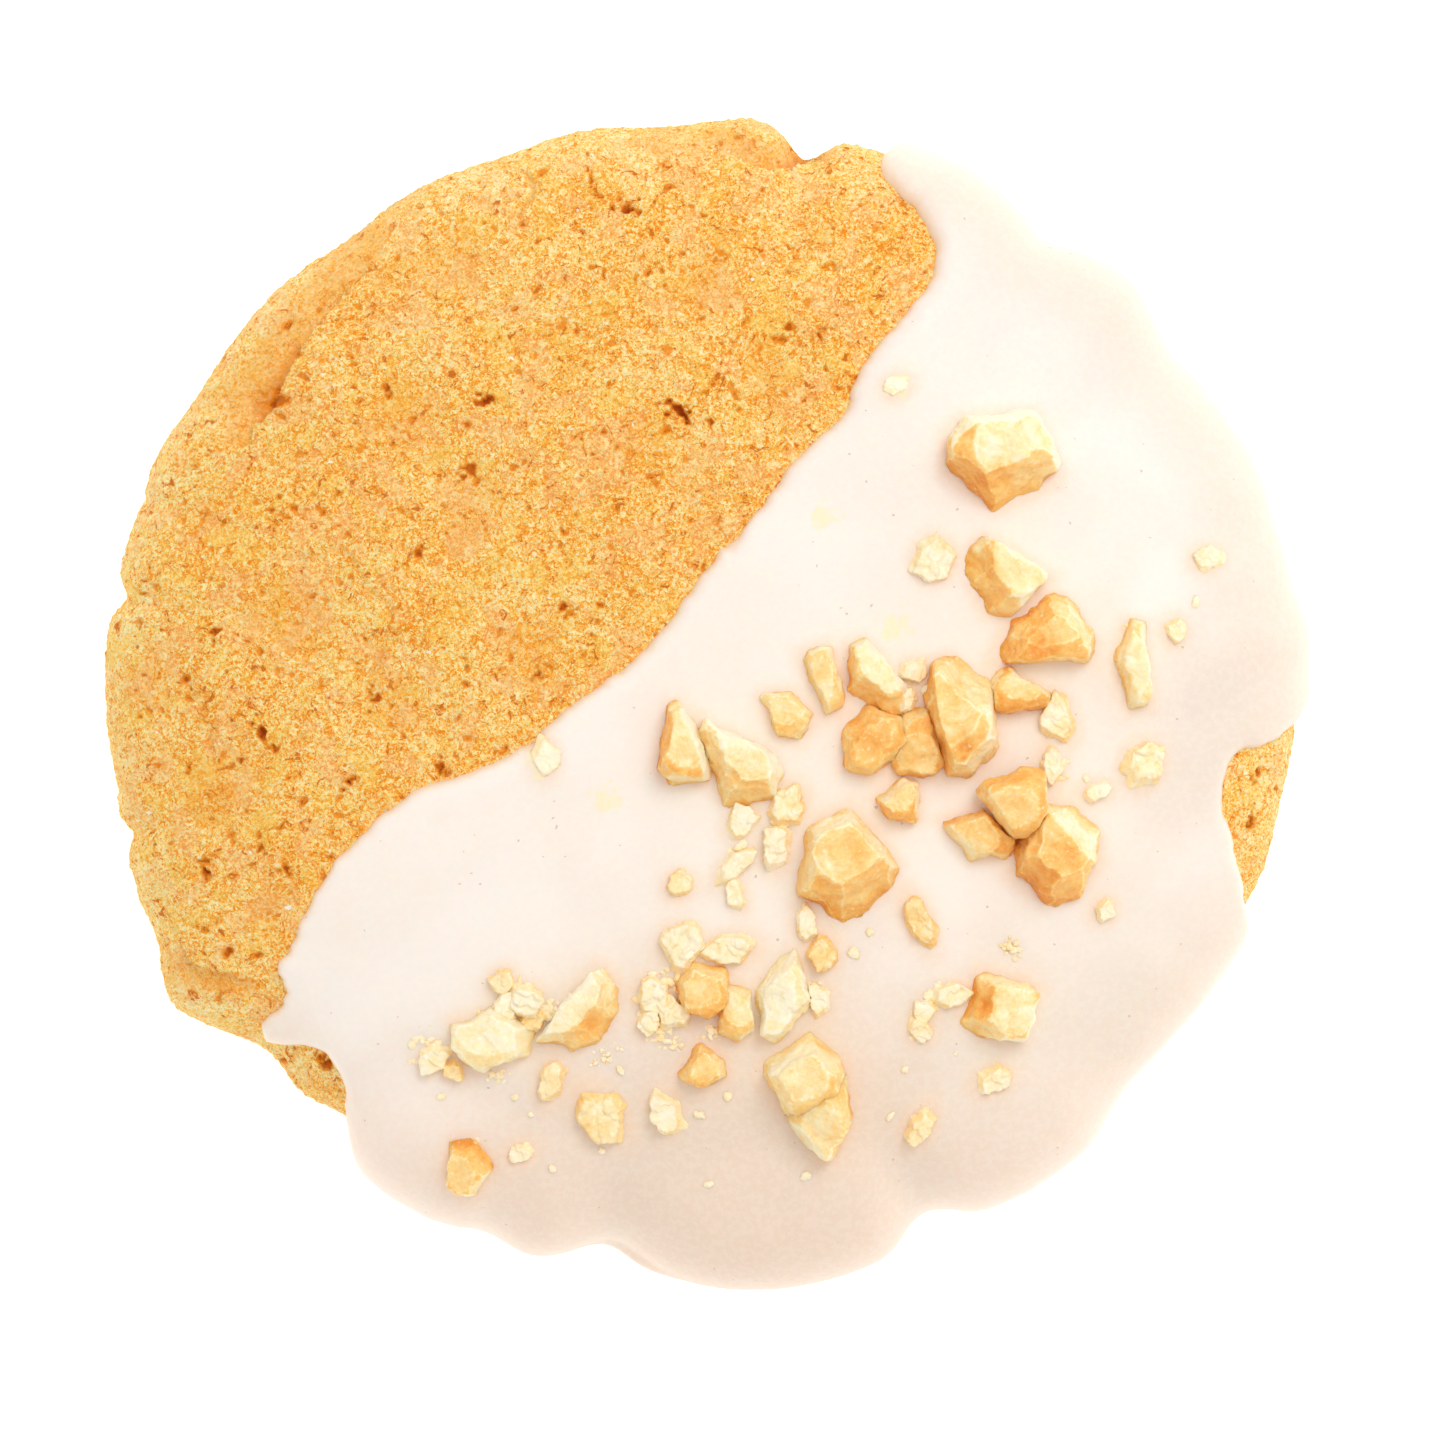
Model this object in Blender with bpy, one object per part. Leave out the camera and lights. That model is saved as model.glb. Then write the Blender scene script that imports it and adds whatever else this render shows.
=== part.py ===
"""Peanut cookie: a round soft-baked biscuit, half of it dipped in white icing under chopped peanuts.

The cookie lies flat, face up, on Z = 0. All sizes are in millimetres until they reach Blender.
Bearings are degrees counter-clockwise from +X, seen from above.
"""

import math
import random

import bmesh
import bpy
import numpy as np
from mathutils import Matrix, Vector
from mathutils.geometry import delaunay_2d_cdt

MM = 0.001

# Where the middle of the finished outline lies in the plan that the sizes below are read in.
PLAN_MIDDLE = (-0.02, 0.05)

# Biscuit
BISCUIT_HEIGHT = 12.5
FOOT_HEIGHT = 3.0
FOOT_TUCK = 2.4
CROWN_POWER = 3.0
MEAN_RADIUS = 40.0
RIM_RADII = (40.7, 40.2, 40.2, 40.5, 41.0, 41.8, 41.8, 41.2, 37.7, 37.2, 37.5, 39.1)
# Bites and crags of the rim: bearing, half-width in degrees, reach
RIM_CRAGS = (
    (37.5, 3.0, -0.7), (54.5, 3.5, -1.5), (80, 2.4, -1.9), (86, 3.0, 0.5), (160, 1.2, -0.3),
    (169.5, 1.5, -0.9), (176, 4.0, 0.2), (187, 3.5, -0.6), (192.5, 1.4, -0.8), (208, 4.0, 1.4),
    (218, 4.5, -1.6), (229, 5.0, -0.9),
)
GRID_RINGS = 24
BASE_RING_SHARE = 0.62
BASE_LEAST_POINTS = 12
LUMP_COUNT = 14
LUMP_HEIGHT = 0.05
LUMP_WAVES = (7.0, 20.0)
LUMP_SEED = 7
# The relief fades out over this much of the crust beside the icing, and starts this far above the base
BARE_FADE = (0.6, 2.2)
RELIEF_FOOT = 0.2

# Cracks: points of the line, depth at its first and last point, how wide its lower side is
CRACKS = (
    (((-30.6, 20.6), (-28.4, 24.7), (-26.3, 27.6), (-23.4, 31.2), (-21.6, 34.0)), 1.1, 0.3, 2.4),
    (((1.0, 38.9), (4.0, 37.4), (6.6, 37.9)), 0.6, 1.1, 1.5),
    (((-35.5, -18.4), (-32.0, -19.0), (-29.8, -19.4)), 0.7, 0.5, 1.4),
)
CRACK_INNER_WIDTH = 0.6
# Pits: place and depth
PITS = (
    (-2.0, 20.2, 1.1), (-5.7, 34.3, 0.7), (-15.2, 21.2, 0.7), (-16.6, 16.1, 0.6), (-22.2, 21.9, 0.5),
    (-4.2, 30.0, 0.5), (-20.1, 10.3, 0.5), (-10.1, 6.7, 0.6), (-34.2, 4.9, 0.5), (-30.8, -2.0, 0.7),
    (-34.9, -11.6, 0.7), (-24.8, -5.3, 0.4), (5.6, 26.1, 0.5), (-30.3, 21.2, 1.0), (-29.3, -11.2, 0.5),
)

# Icing
GAP = 0.3
ICING_DEPTH = 0.8
EDGE_ROUND = 1.2
DRIP_EDGE_HEIGHT = 1.9
# The line that the dip left across the top, from the upper rim to the tip at the lower left
DIP_LINE = (
    (12.4, 38.7), (11.9, 36.9), (13.0, 35.4), (14.7, 34.0), (15.5, 31.6), (15.0, 29.0), (12.4, 25.9),
    (10.0, 22.4), (9.2, 20.0), (6.3, 17.2), (2.4, 12.4), (-0.4, 9.2), (-4.2, 4.2), (-7.4, 1.5),
    (-10.8, -1.0), (-12.4, -2.6), (-16.3, -4.3), (-20.5, -6.0), (-23.8, -8.6), (-26.5, -11.8),
    (-28.5, -15.6), (-29.7, -18.0), (-29.4, -20.2), (-31.0, -21.8),
)
# The icing's own edge over the two bare stretches of the side
LEFT_WINDOW = ((-30.6, -23.1), (-28.5, -23.5), (-26.4, -24.1), (-25.4, -25.7), (-25.1, -27.2))
RIGHT_WINDOW = (
    (36.5, -15.9), (36.7, -12.8), (36.2, -9.5), (35.4, -7.0), (35.6, -4.8), (36.9, -3.1), (39.2, -2.3),
)
# How far the iced side reaches out, by bearing: drips stand proud between the notches
ICING_REACH = (
    (-140, 39.2), (-131, 39.4), (-127, 40.5), (-123, 40.8), (-119, 40.6), (-113, 39.8), (-108, 40.3),
    (-105, 39.5), (-102, 38.2), (-99.5, 38.2), (-95, 39.7), (-91, 40.7), (-84, 41.0), (-76, 40.8),
    (-72, 40.3), (-68, 38.3), (-65.5, 38.4), (-62, 39.9), (-57, 40.5), (-49, 40.5), (-44, 39.5),
    (-39, 39.2), (-31, 40.1), (-14, 41.6), (-3, 41.5), (7, 42.2), (14, 41.1), (23, 41.6), (32, 41.0),
    (37.5, 40.3), (41, 41.0), (45, 41.8), (50, 41.0), (54.5, 39.7), (58, 40.7), (64, 41.6), (80, 41.4),
)
REACH_SOFTNESS = 1.0
LEAST_SIDE_DEPTH = 0.55
# Shares of the rim's radius between which the icing turns from thin to thick, and how a thick edge widens
SIDE_SHARES = (0.80, 0.99)
EDGE_WIDENING = 0.8
DIP_BEARING = 71.5
RIGHT_WINDOW_BEARINGS = (-27.0, 1.5)
DRIP_END_BEARING = -128.0
# Spacing of the icing's points: along its edge, in rows beside the edge, and in rings about the middle
CURVE_SAMPLES = 900
EDGE_SPACING = 1.75
EDGE_ROWS = (0.35, 1.0, 2.0)
UNDER_EDGE_ROWS = (1.4,)
TOP_SPACING = 3.6
SIDE_SPACING = 2.1
SIDE_START = 27.0
ROW_GAP = 0.3
RING_CLEARANCE = 0.9

# Chopped peanuts: place, height, tilt of the top (bearing it faces, degrees), and its broken sides,
# each by the bearing it faces, its reach at the icing and how far it leans in
CHUNKS = (
    ((20.2, 17.0), 4.0, (60, 12), (
        (137, 4.1, 14), (95, 3.2, 11), (26, 3.5, 7), (-31, 4.1, 6), (-66, 3.1, 31),
        (233, 3.2, 17), (180, 4.0, 5))),
    ((20.4, 8.9), 2.9, (30, 22), (
        (59, 1.8, 5), (-42, 2.3, 7), (-100, 2.9, 26), (206, 2.4, 32), (180, 2.5, 27), (127, 3.1, 12))),
    ((23.1, 5.3), 3.0, (100, 10), (
        (-90, 2.3, 7), (133, 1.9, 26), (157, 2.7, 29), (80, 2.5, 26), (32, 2.5, 16), (0, 3.4, 10))),
    ((17.1, -0.6), 3.9, (150, 12), (
        (100, 4.1, 15), (52, 3.0, 26), (5, 2.5, 9), (-40, 3.6, 14), (-85, 4.4, 16), (197, 2.0, 9),
        (180, 2.3, 7))),
    ((14.5, -2.7), 1.7, (250, 12), (
        (21, 1.3, 7), (120, 2.2, 12), (-39, 2.3, 11), (-97, 2.2, 14), (162, 1.6, 11))),
    ((21.3, 1.0), 2.1, (80, 18), (
        (55, 1.1, 12), (-20, 2.2, 9), (-74, 1.4, 4), (190, 1.9, 6), (142, 2.0, 10))),
    ((18.8, -8.7), 2.1, (200, 16), (
        (47, 1.2, 5), (-88, 1.9, 15), (-30, 2.6, 11), (217, 1.8, 14), (105, 1.5, 9))),
    ((23.8, -9.9), 3.8, (30, 10), (
        (85, 3.2, 11), (45, 2.9, 26), (10, 3.1, 15), (-35, 3.1, 16), (-75, 3.5, 26),
        (232, 3.4, 29), (165, 2.7, 14))),
    ((12.9, -6.4), 1.8, (90, 14), (
        (0, 1.5, 9), (80, 1.4, 11), (126, 0.9, 16), (-90, 1.4, 6), (220, 1.2, 10))),
    ((11.4, -2.4), 2.6, (140, 14), (
        (180, 2.2, 16), (130, 2.1, 27), (70, 2.4, 14), (20, 2.4, 11), (-51, 1.9, 9), (-105, 2.5, 12))),
    ((11.5, 2.1), 2.4, (50, 20), (
        (180, 1.9, 12), (110, 2.7, 14), (42, 1.1, 5), (-10, 2.2, 9), (240, 1.9, 26))),
    ((-2.0, -2.5), 2.9, (30, 12), (
        (167, 1.3, 10), (100, 2.8, 16), (27, 1.4, 9), (0, 2.3, 15), (-90, 2.8, 12), (218, 2.5, 14))),
    ((2.1, -3.9), 3.0, (60, 14), (
        (64, 1.7, 9), (22, 2.5, 12), (-19, 3.0, 11), (-92, 2.9, 26), (204, 2.2, 26), (160, 3.6, 11))),
    ((9.4, -10.7), 4.0, (70, 8), (
        (38, 2.8, 14), (118, 3.4, 15), (172, 2.9, 11), (-20, 3.5, 16), (-52, 3.3, 29), (-108, 3.9, 32),
        (235, 3.6, 16))),
    ((5.1, -19.7), 2.2, (200, 14), (
        (18, 1.7, 7), (-47, 1.9, 9), (-108, 3.5, 15), (180, 1.9, 14), (139, 1.6, 16))),
    ((-0.3, -19.7), 2.1, (120, 10), (
        (15, 1.9, 11), (75, 1.8, 14), (135, 1.9, 12), (190, 1.9, 15), (250, 1.9, 12), (310, 1.8, 10))),
    ((2.0, -21.2), 1.7, (90, 12), (
        (10, 1.2, 9), (80, 1.9, 14), (170, 1.3, 11), (250, 1.8, 12), (-50, 1.6, 10))),
    ((-8.6, -21.1), 2.8, (140, 20), (
        (138, 1.6, 8), (75, 3.6, 12), (35, 3.0, 18), (0, 2.2, 24), (-35, 1.9, 30), (-70, 2.2, 30),
        (-105, 2.9, 26), (190, 3.9, 14))),
    ((-15.0, -22.8), 2.0, (90, 10), (
        (67, 1.9, 9), (110, 2.0, 15), (180, 2.9, 16), (-8, 2.8, 26), (-70, 2.1, 14), (230, 2.5, 15))),
    ((-16.7, -31.9), 1.8, (80, 10), (
        (95, 2.0, 15), (35, 1.6, 12), (-30, 1.5, 14), (-90, 2.1, 26), (225, 1.7, 14), (170, 1.4, 12))),
    ((6.4, -25.2), 3.9, (120, 10), (
        (216, 2.4, 12), (175, 2.8, 11), (122, 2.0, 14), (52, 2.5, 10), (3, 2.9, 7), (-65, 2.6, 6))),
    ((7.9, -28.3), 3.3, (230, 12), (
        (216, 2.1, 11), (100, 3.2, 5), (5, 1.9, 9), (-28, 1.9, 10), (-74, 3.1, 16))),
    ((19.9, -20.8), 2.6, (20, 14), (
        (71, 2.1, 7), (-19, 2.5, 7), (-93, 2.4, 14), (232, 2.4, 26), (158, 2.3, 27))),
    ((-0.4, -24.9), 1.9, (60, 12), (
        (60, 1.3, 10), (10, 1.6, 11), (-60, 1.4, 9), (235, 1.5, 12), (150, 1.3, 14))),
    ((5.3, -0.5), 1.4, (90, 8), (
        (97, 1.6, 11), (42, 1.3, 10), (-30, 1.8, 9), (-100, 1.7, 12), (203, 1.2, 10), (140, 2.2, 9))),
    ((7.9, 1.7), 1.6, (190, 12), ((21, 1.1, 7), (-75, 2.5, 12), (200, 0.9, 15), (110, 2.4, 14))),
    ((29.1, 2.9), 1.9, (180, 10), (
        (5, 1.2, 11), (-80, 3.1, 12), (195, 1.1, 15), (160, 1.3, 14), (80, 3.0, 12))),
)
# The flat chunk that leans on its two neighbours: place, underside, height, tilt and sides as above
LEANING_CHUNK = ((20.9, -6.6), 0.9, 4.3, (215, 12), (
    (8, 2.2, 2), (-41, 2.5, 6), (216, 1.8, 7), (114, 2.2, 4), (175, 2.6, 7)))

# Flakes and splinters: place, length, width, height, bearing of the long way
FLAKES = (
    (15.5, 10.2, 3.4, 2.9, 1.3, 80), (24.2, -1.1, 3.6, 2.3, 1.2, 105), (29.8, -4.1, 3.4, 2.8, 1.5, 75),
    (5.5, -6.9, 3.4, 2.2, 1.4, 70), (2.2, -8.1, 2.7, 2.1, 1.0, 60), (4.6, -9.7, 3.1, 2.0, 1.3, 85),
    (1.6, -11.0, 3.4, 1.7, 1.1, 50), (1.9, -12.9, 2.3, 1.3, 0.8, 110), (-2.0, -16.6, 3.3, 3.0, 1.5, 125),
    (1.7, -16.6, 3.7, 2.3, 1.4, 10), (-3.9, -19.8, 2.6, 2.3, 1.6, 30), (-2.5, -21.2, 2.6, 2.0, 1.4, 150),
    (-4.1, -21.7, 2.0, 1.7, 1.2, 80), (-2.9, -27.9, 3.0, 2.2, 1.3, 100), (-12.9, -20.2, 2.6, 2.1, 1.7, 20),
    (-14.1, -21.0, 2.1, 1.8, 1.4, 100), (-12.0, -21.6, 2.0, 1.6, 1.3, 60), (-18.9, -24.2, 2.4, 1.9, 1.2, 15),
    (-17.6, -24.9, 1.8, 1.4, 1.0, 140), (-10.9, -26.0, 3.0, 1.7, 1.1, 75), (-7.4, -27.9, 4.9, 2.9, 1.2, 130),
    (14.5, -14.9, 4.1, 1.7, 1.5, 112), (16.4, -19.9, 2.7, 1.6, 1.3, 10), (15.0, -20.9, 1.9, 1.6, 1.0, 60),
    (14.5, -22.3, 1.9, 1.6, 1.0, 120), (19.5, -25.8, 2.8, 1.9, 1.1, 25), (14.6, -28.8, 3.0, 1.8, 1.3, 65),
    (8.0, -16.9, 2.5, 2.0, 1.3, 80), (6.5, -14.9, 3.0, 1.4, 1.1, 95), (14.1, 2.4, 1.9, 1.7, 1.0, 40),
    (13.6, 0.4, 2.0, 1.6, 1.5, 70), (23.6, -4.0, 2.6, 1.6, 1.1, 95), (26.7, -5.8, 2.2, 1.3, 0.9, 15),
    (32.1, 5.3, 2.0, 1.6, 0.9, 80), (34.4, 10.1, 2.3, 1.7, 0.8, 10), (27.3, -14.2, 1.6, 1.4, 0.9, 30),
    (-2.0, -12.4, 2.1, 1.6, 0.9, 20), (13.0, 22.1, 2.2, 1.5, 0.35, 35), (-11.4, -3.5, 2.8, 2.0, 0.35, 100),
    (-12.9, -30.8, 1.9, 1.4, 0.8, 20), (7.7, -20.4, 2.5, 1.7, 0.8, 85), (-14.4, -18.9, 1.9, 1.5, 1.1, 50),
)
FLAKE_SEED = 19
FLAKE_CORNERS = 6
FLAKE_TOP_SHARE = 0.7
FLAKE_SPREAD = 1.12
FLAKE_UNEVENNESS = 0.17
NUT_SINK = 0.45
# A kernel's round body next to its broken outline: how much wider, how tall, and how high its middle is
KERNEL_ROUND = 1.28
KERNEL_TALL = 0.95
KERNEL_MIDDLE = 0.2
SHARP_ANGLE = 32.0

COLOURS = {
    "biscuit": ((0.86, 0.50, 0.17), 0.85),
    "icing": ((0.95, 0.89, 0.81), 0.5),
    "peanut": ((0.93, 0.68, 0.36), 0.6),
}


def smooth_step(low, high, value):
    """0 below low, 1 above high, smooth between."""
    part = np.clip((value - low) / (high - low), 0.0, 1.0)
    return part * part * (3.0 - 2.0 * part)


def through_points(points, count):
    """Evenly spaced points along a Catmull-Rom curve through the given ones."""
    points = np.asarray(points, float)
    padded = np.vstack([2 * points[0] - points[1], points, 2 * points[-1] - points[-2]])
    pieces = []
    for first, second, third, fourth in zip(padded, padded[1:], padded[2:], padded[3:]):
        t = np.linspace(0.0, 1.0, 24, endpoint=False)[:, None]
        bend = (third - first) * t
        bend = bend + (2 * first - 5 * second + 4 * third - fourth) * t ** 2
        bend = bend + (3 * second - first - 3 * third + fourth) * t ** 3
        pieces.append(second + 0.5 * bend)
    curve = np.vstack(pieces + [points[-1:]])
    length = np.concatenate([[0.0], np.cumsum(np.linalg.norm(np.diff(curve, axis=0), axis=1))])
    stops = np.linspace(0.0, length[-1], count)
    return np.column_stack([np.interp(stops, length, curve[:, 0]), np.interp(stops, length, curve[:, 1])])


def bearing_of(x, y):
    return np.degrees(np.arctan2(y, x))


def rim_radius(bearing):
    """The biscuit's widest radius at a bearing: a smooth ring with its bites and crags."""
    step = 360.0 / len(RIM_RADII)
    knots = np.asarray(RIM_RADII)
    place = (np.asarray(bearing, float) % 360.0) / step
    index = np.floor(place).astype(int)
    t = place - index
    first, second, third, fourth = (knots[(index + shift) % len(knots)] for shift in (-1, 0, 1, 2))
    bend = (third - first) * t
    bend = bend + (2 * first - 5 * second + 4 * third - fourth) * t ** 2
    bend = bend + (3 * second - first - 3 * third + fourth) * t ** 3
    radius = second + 0.5 * bend
    for middle, half_width, reach in RIM_CRAGS:
        off = (np.asarray(bearing) - middle + 180.0) % 360.0 - 180.0
        radius = radius + reach * np.exp(-(off / half_width) ** 2)
    return radius


def profile():
    """The biscuit's side profile from the middle of the top to the edge of the flat base.

    Returns the share of the way, the share of the rim's radius, the height, and the outward normal.
    """
    turn = np.linspace(0.0, math.pi / 2, 400)
    crown_radius = np.sin(turn) ** (2 / CROWN_POWER)
    crown_height = FOOT_HEIGHT + (BISCUIT_HEIGHT - FOOT_HEIGHT) * np.cos(turn) ** (2 / CROWN_POWER)
    tuck_radius = 1.0 - FOOT_TUCK / MEAN_RADIUS * (1.0 - np.cos(turn[1:]))
    tuck_height = FOOT_HEIGHT * (1.0 - np.sin(turn[1:]))
    radius = np.concatenate([crown_radius, tuck_radius])
    height = np.concatenate([crown_height, tuck_height])
    length = np.concatenate([[0.0], np.cumsum(np.hypot(np.diff(radius) * MEAN_RADIUS, np.diff(height)))])
    across = np.gradient(radius * MEAN_RADIUS, length)
    down = np.gradient(height, length)
    size = np.hypot(across, down)
    return length / length[-1], radius, height, -down / size, across / size


WAY, WAY_RADIUS, WAY_HEIGHT, WAY_OUT, WAY_UP = profile()
WIDEST_WAY = float(WAY[np.argmax(WAY_RADIUS)])
PROFILE_LENGTH = float(np.sum(np.hypot(np.diff(WAY_RADIUS) * MEAN_RADIUS, np.diff(WAY_HEIGHT))))


def way_at(x, y):
    """Share of the way along the profile of a point of the plan, on the upper side."""
    share = np.hypot(x, y) / rim_radius(bearing_of(x, y))
    upper = WAY <= WIDEST_WAY
    return np.interp(share, WAY_RADIUS[upper], WAY[upper])


def way_at_height(height):
    """Share of the way along the profile at a height under the widest level."""
    lower = WAY >= WIDEST_WAY
    return float(np.interp(-height, -WAY_HEIGHT[lower], WAY[lower]))


def surface(bearing, way, lift=0.0):
    """Points on the biscuit's smooth form, moved out along its normal by lift."""
    radius = np.interp(way, WAY, WAY_RADIUS) * rim_radius(bearing)
    out = np.interp(way, WAY, WAY_OUT)
    up = np.interp(way, WAY, WAY_UP)
    turn = np.radians(bearing)
    reach = radius + out * lift
    height = np.interp(way, WAY, WAY_HEIGHT) + up * lift
    return np.column_stack([reach * np.cos(turn), reach * np.sin(turn), height])


def unrolled(bearing, way):
    """The side rolled out flat: the same bearing, with the way along the profile as the radius."""
    turn = np.radians(bearing)
    return np.column_stack([way * np.cos(turn), way * np.sin(turn)]) * PROFILE_LENGTH


def rolled(points):
    """Bearing and way of unrolled points."""
    return bearing_of(points[:, 0], points[:, 1]), np.hypot(points[:, 0], points[:, 1]) / PROFILE_LENGTH


def plan_to_unrolled(points):
    points = np.asarray(points, float)
    return unrolled(bearing_of(points[:, 0], points[:, 1]), way_at(points[:, 0], points[:, 1]))


def drip_edge(first, last, steps):
    """The icing's lower edge round the side, from one bearing to another."""
    bearing = np.linspace(first, last, steps)
    return unrolled(bearing, np.full(steps, way_at_height(DRIP_EDGE_HEIGHT)))


def icing_loop():
    """The edge of the iced half, unrolled: the dip line, and the drip edge with its two bare windows."""
    start = drip_edge(DIP_BEARING, DIP_BEARING, 1)
    dip = np.vstack([start, plan_to_unrolled(through_points(DIP_LINE, CURVE_SAMPLES))])
    right = plan_to_unrolled(RIGHT_WINDOW[::-1])
    left = plan_to_unrolled(LEFT_WINDOW[::-1])
    before, after = RIGHT_WINDOW_BEARINGS
    outer = through_points(np.vstack([
        drip_edge(DIP_BEARING, after, 24), right, drip_edge(before, DRIP_END_BEARING, 32), left, dip[-1:],
    ]), CURVE_SAMPLES)
    loop = np.vstack([dip, outer[1:-1][::-1]])
    closed = np.vstack([loop, loop[:1]])
    length = np.concatenate([[0.0], np.cumsum(np.linalg.norm(np.diff(closed, axis=0), axis=1))])
    stops = np.linspace(0.0, length[-1], round(length[-1] / EDGE_SPACING), endpoint=False)
    return np.column_stack([np.interp(stops, length, closed[:, 0]), np.interp(stops, length, closed[:, 1])])


def distance_to_loop(points, loop):
    """Distance of each point to a closed loop, positive inside it."""
    start = loop
    end = np.roll(loop, -1, axis=0)
    run = end - start
    size = np.maximum(np.sum(run * run, axis=1), 1e-12)
    offset = points[:, None, :] - start[None, :, :]
    share = np.clip(np.sum(offset * run, axis=2) / size, 0.0, 1.0)
    nearest = np.linalg.norm(offset - share[:, :, None] * run, axis=2).min(axis=1)
    above_start = start[None, :, 1] > points[:, 1:2]
    above_end = end[None, :, 1] > points[:, 1:2]
    rise = np.where(np.abs(run[:, 1]) < 1e-12, 1e-12, run[:, 1])
    crossing = start[:, 0] + (points[:, 1:2] - start[:, 1]) / rise * run[:, 0]
    inside = np.sum((above_start != above_end) & (points[:, 0:1] < crossing), axis=1) % 2 == 1
    return np.where(inside, nearest, -nearest)


def icing_thickness(bearing, way, edge_distance):
    """Thin on the top, thick in the drips, and rounded off at its edge."""
    reach_bearings, reaches = np.array(ICING_REACH).T
    around = (bearing + 180.0) % 360.0 - 180.0
    shifts = (-REACH_SOFTNESS, 0.0, REACH_SOFTNESS)
    reach = sum(np.interp(around + shift, reach_bearings, reaches) for shift in shifts) / len(shifts)
    side_depth = np.maximum(reach - rim_radius(bearing) - GAP, LEAST_SIDE_DEPTH)
    on_side = smooth_step(*SIDE_SHARES, np.interp(way, WAY, WAY_RADIUS))
    on_side = np.where(way > WIDEST_WAY, 1.0, on_side)
    depth = ICING_DEPTH + (side_depth - ICING_DEPTH) * on_side
    width = EDGE_ROUND + EDGE_WIDENING * np.maximum(depth - ICING_DEPTH, 0.0)
    share = np.clip(edge_distance / width, 0.0, 1.0)
    return depth * np.sqrt(1.0 - (1.0 - share) ** 2)


def lumps(x, y):
    """Gentle unevenness of the baked top, from a few seeded waves."""
    draw = random.Random(LUMP_SEED)
    total = np.zeros_like(x)
    for _ in range(LUMP_COUNT):
        turn = draw.uniform(0.0, 2 * math.pi)
        wave = draw.uniform(*LUMP_WAVES)
        phase = draw.uniform(0.0, 2 * math.pi)
        total += LUMP_HEIGHT * np.sin((x * math.cos(turn) + y * math.sin(turn)) * 2 * math.pi / wave + phase)
    return total


def crack_depth(x, y):
    """Each crack is a step: sharp on its inner side, easing out towards the rim."""
    points = np.column_stack([x, y])
    total = np.zeros(len(points))
    for line, first_depth, last_depth, width in CRACKS:
        path = through_points(line, 30)
        offset = np.linalg.norm(points[:, None, :] - path[None, :, :], axis=2)
        nearest = offset.argmin(axis=1)
        near = offset[np.arange(len(points)), nearest]
        depth = np.linspace(first_depth, last_depth, len(path))[nearest]
        rimward = np.hypot(x, y) - np.hypot(*path[nearest].T)
        outer_side = np.exp(-(near / width) ** 2)
        inner_side = np.exp(-(near / CRACK_INNER_WIDTH) ** 2)
        total += depth * np.where(rimward > 0.0, outer_side, inner_side)
    return total


def bmesh_from(points, faces):
    mesh = bmesh.new()
    corners = [mesh.verts.new(Vector(point) * MM) for point in np.asarray(points, float).tolist()]
    for face in faces:
        mesh.faces.new([corners[index] for index in face])
    return mesh


def add_object(mesh, name, material, collection=None):
    """Close up a bmesh into an object, triangulated with its faces pointing out."""
    bmesh.ops.triangulate(mesh, faces=mesh.faces[:])
    bmesh.ops.recalc_face_normals(mesh, faces=mesh.faces[:])
    data = bpy.data.meshes.new(name)
    mesh.to_mesh(data)
    mesh.free()
    data.materials.append(material)
    item = bpy.data.objects.new(name, data)
    (collection or bpy.context.scene.collection).objects.link(item)
    return item


def make_material(name):
    colour, roughness = COLOURS[name]
    material = bpy.data.materials.new(name)
    material.use_nodes = True
    shader = material.node_tree.nodes["Principled BSDF"]
    shader.inputs["Base Color"].default_value = (*colour, 1.0)
    shader.inputs["Roughness"].default_value = roughness
    shader.inputs["Metallic"].default_value = 0.0
    material.diffuse_color = (*colour, 1.0)
    return material


def biscuit_top(loop):
    """A square grid laid over the top and side as rings, with the relief of the baked crust."""
    steps = np.arange(-GRID_RINGS, GRID_RINGS + 1)
    across, along = (axis.ravel().astype(float) for axis in np.meshgrid(steps, steps))
    ring = np.maximum(np.abs(across), np.abs(along))
    wide = np.abs(across) >= np.abs(along)
    side_on = 45.0 * along / np.where(wide, np.where(across == 0, 1.0, across), 1.0)
    side_on += np.where(across < 0, 180.0, 0.0)
    end_on = 90.0 - 45.0 * across / np.where(wide, 1.0, along)
    end_on += np.where(along < 0, 180.0, 0.0)
    bearing = np.where(wide, side_on, end_on)
    bearing = np.where(ring == 0, 0.0, bearing)
    way = ring / GRID_RINGS
    flat = surface(bearing, way)
    bare = smooth_step(*BARE_FADE, -distance_to_loop(unrolled(bearing, way), loop))
    above_foot = smooth_step(RELIEF_FOOT, FOOT_HEIGHT, flat[:, 2])
    relief = (lumps(flat[:, 0], flat[:, 1]) - crack_depth(flat[:, 0], flat[:, 1])) * bare * above_foot
    points = surface(bearing, way, relief)
    for x, y, depth in PITS:
        nearest = np.hypot(points[:, 0] - x, points[:, 1] - y).argmin()
        points[nearest] = (x, y, points[nearest, 2] - depth)
    points[ring == GRID_RINGS, 2] = 0.0
    count = len(steps)
    faces = []
    for row in range(count - 1):
        for column in range(count - 1):
            corner = row * count + column
            faces.append((corner, corner + 1, corner + count + 1, corner + count))
    border = np.flatnonzero(ring == GRID_RINGS)
    border = border[np.argsort(bearing[border] % 360.0)]
    return points, faces, border


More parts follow.
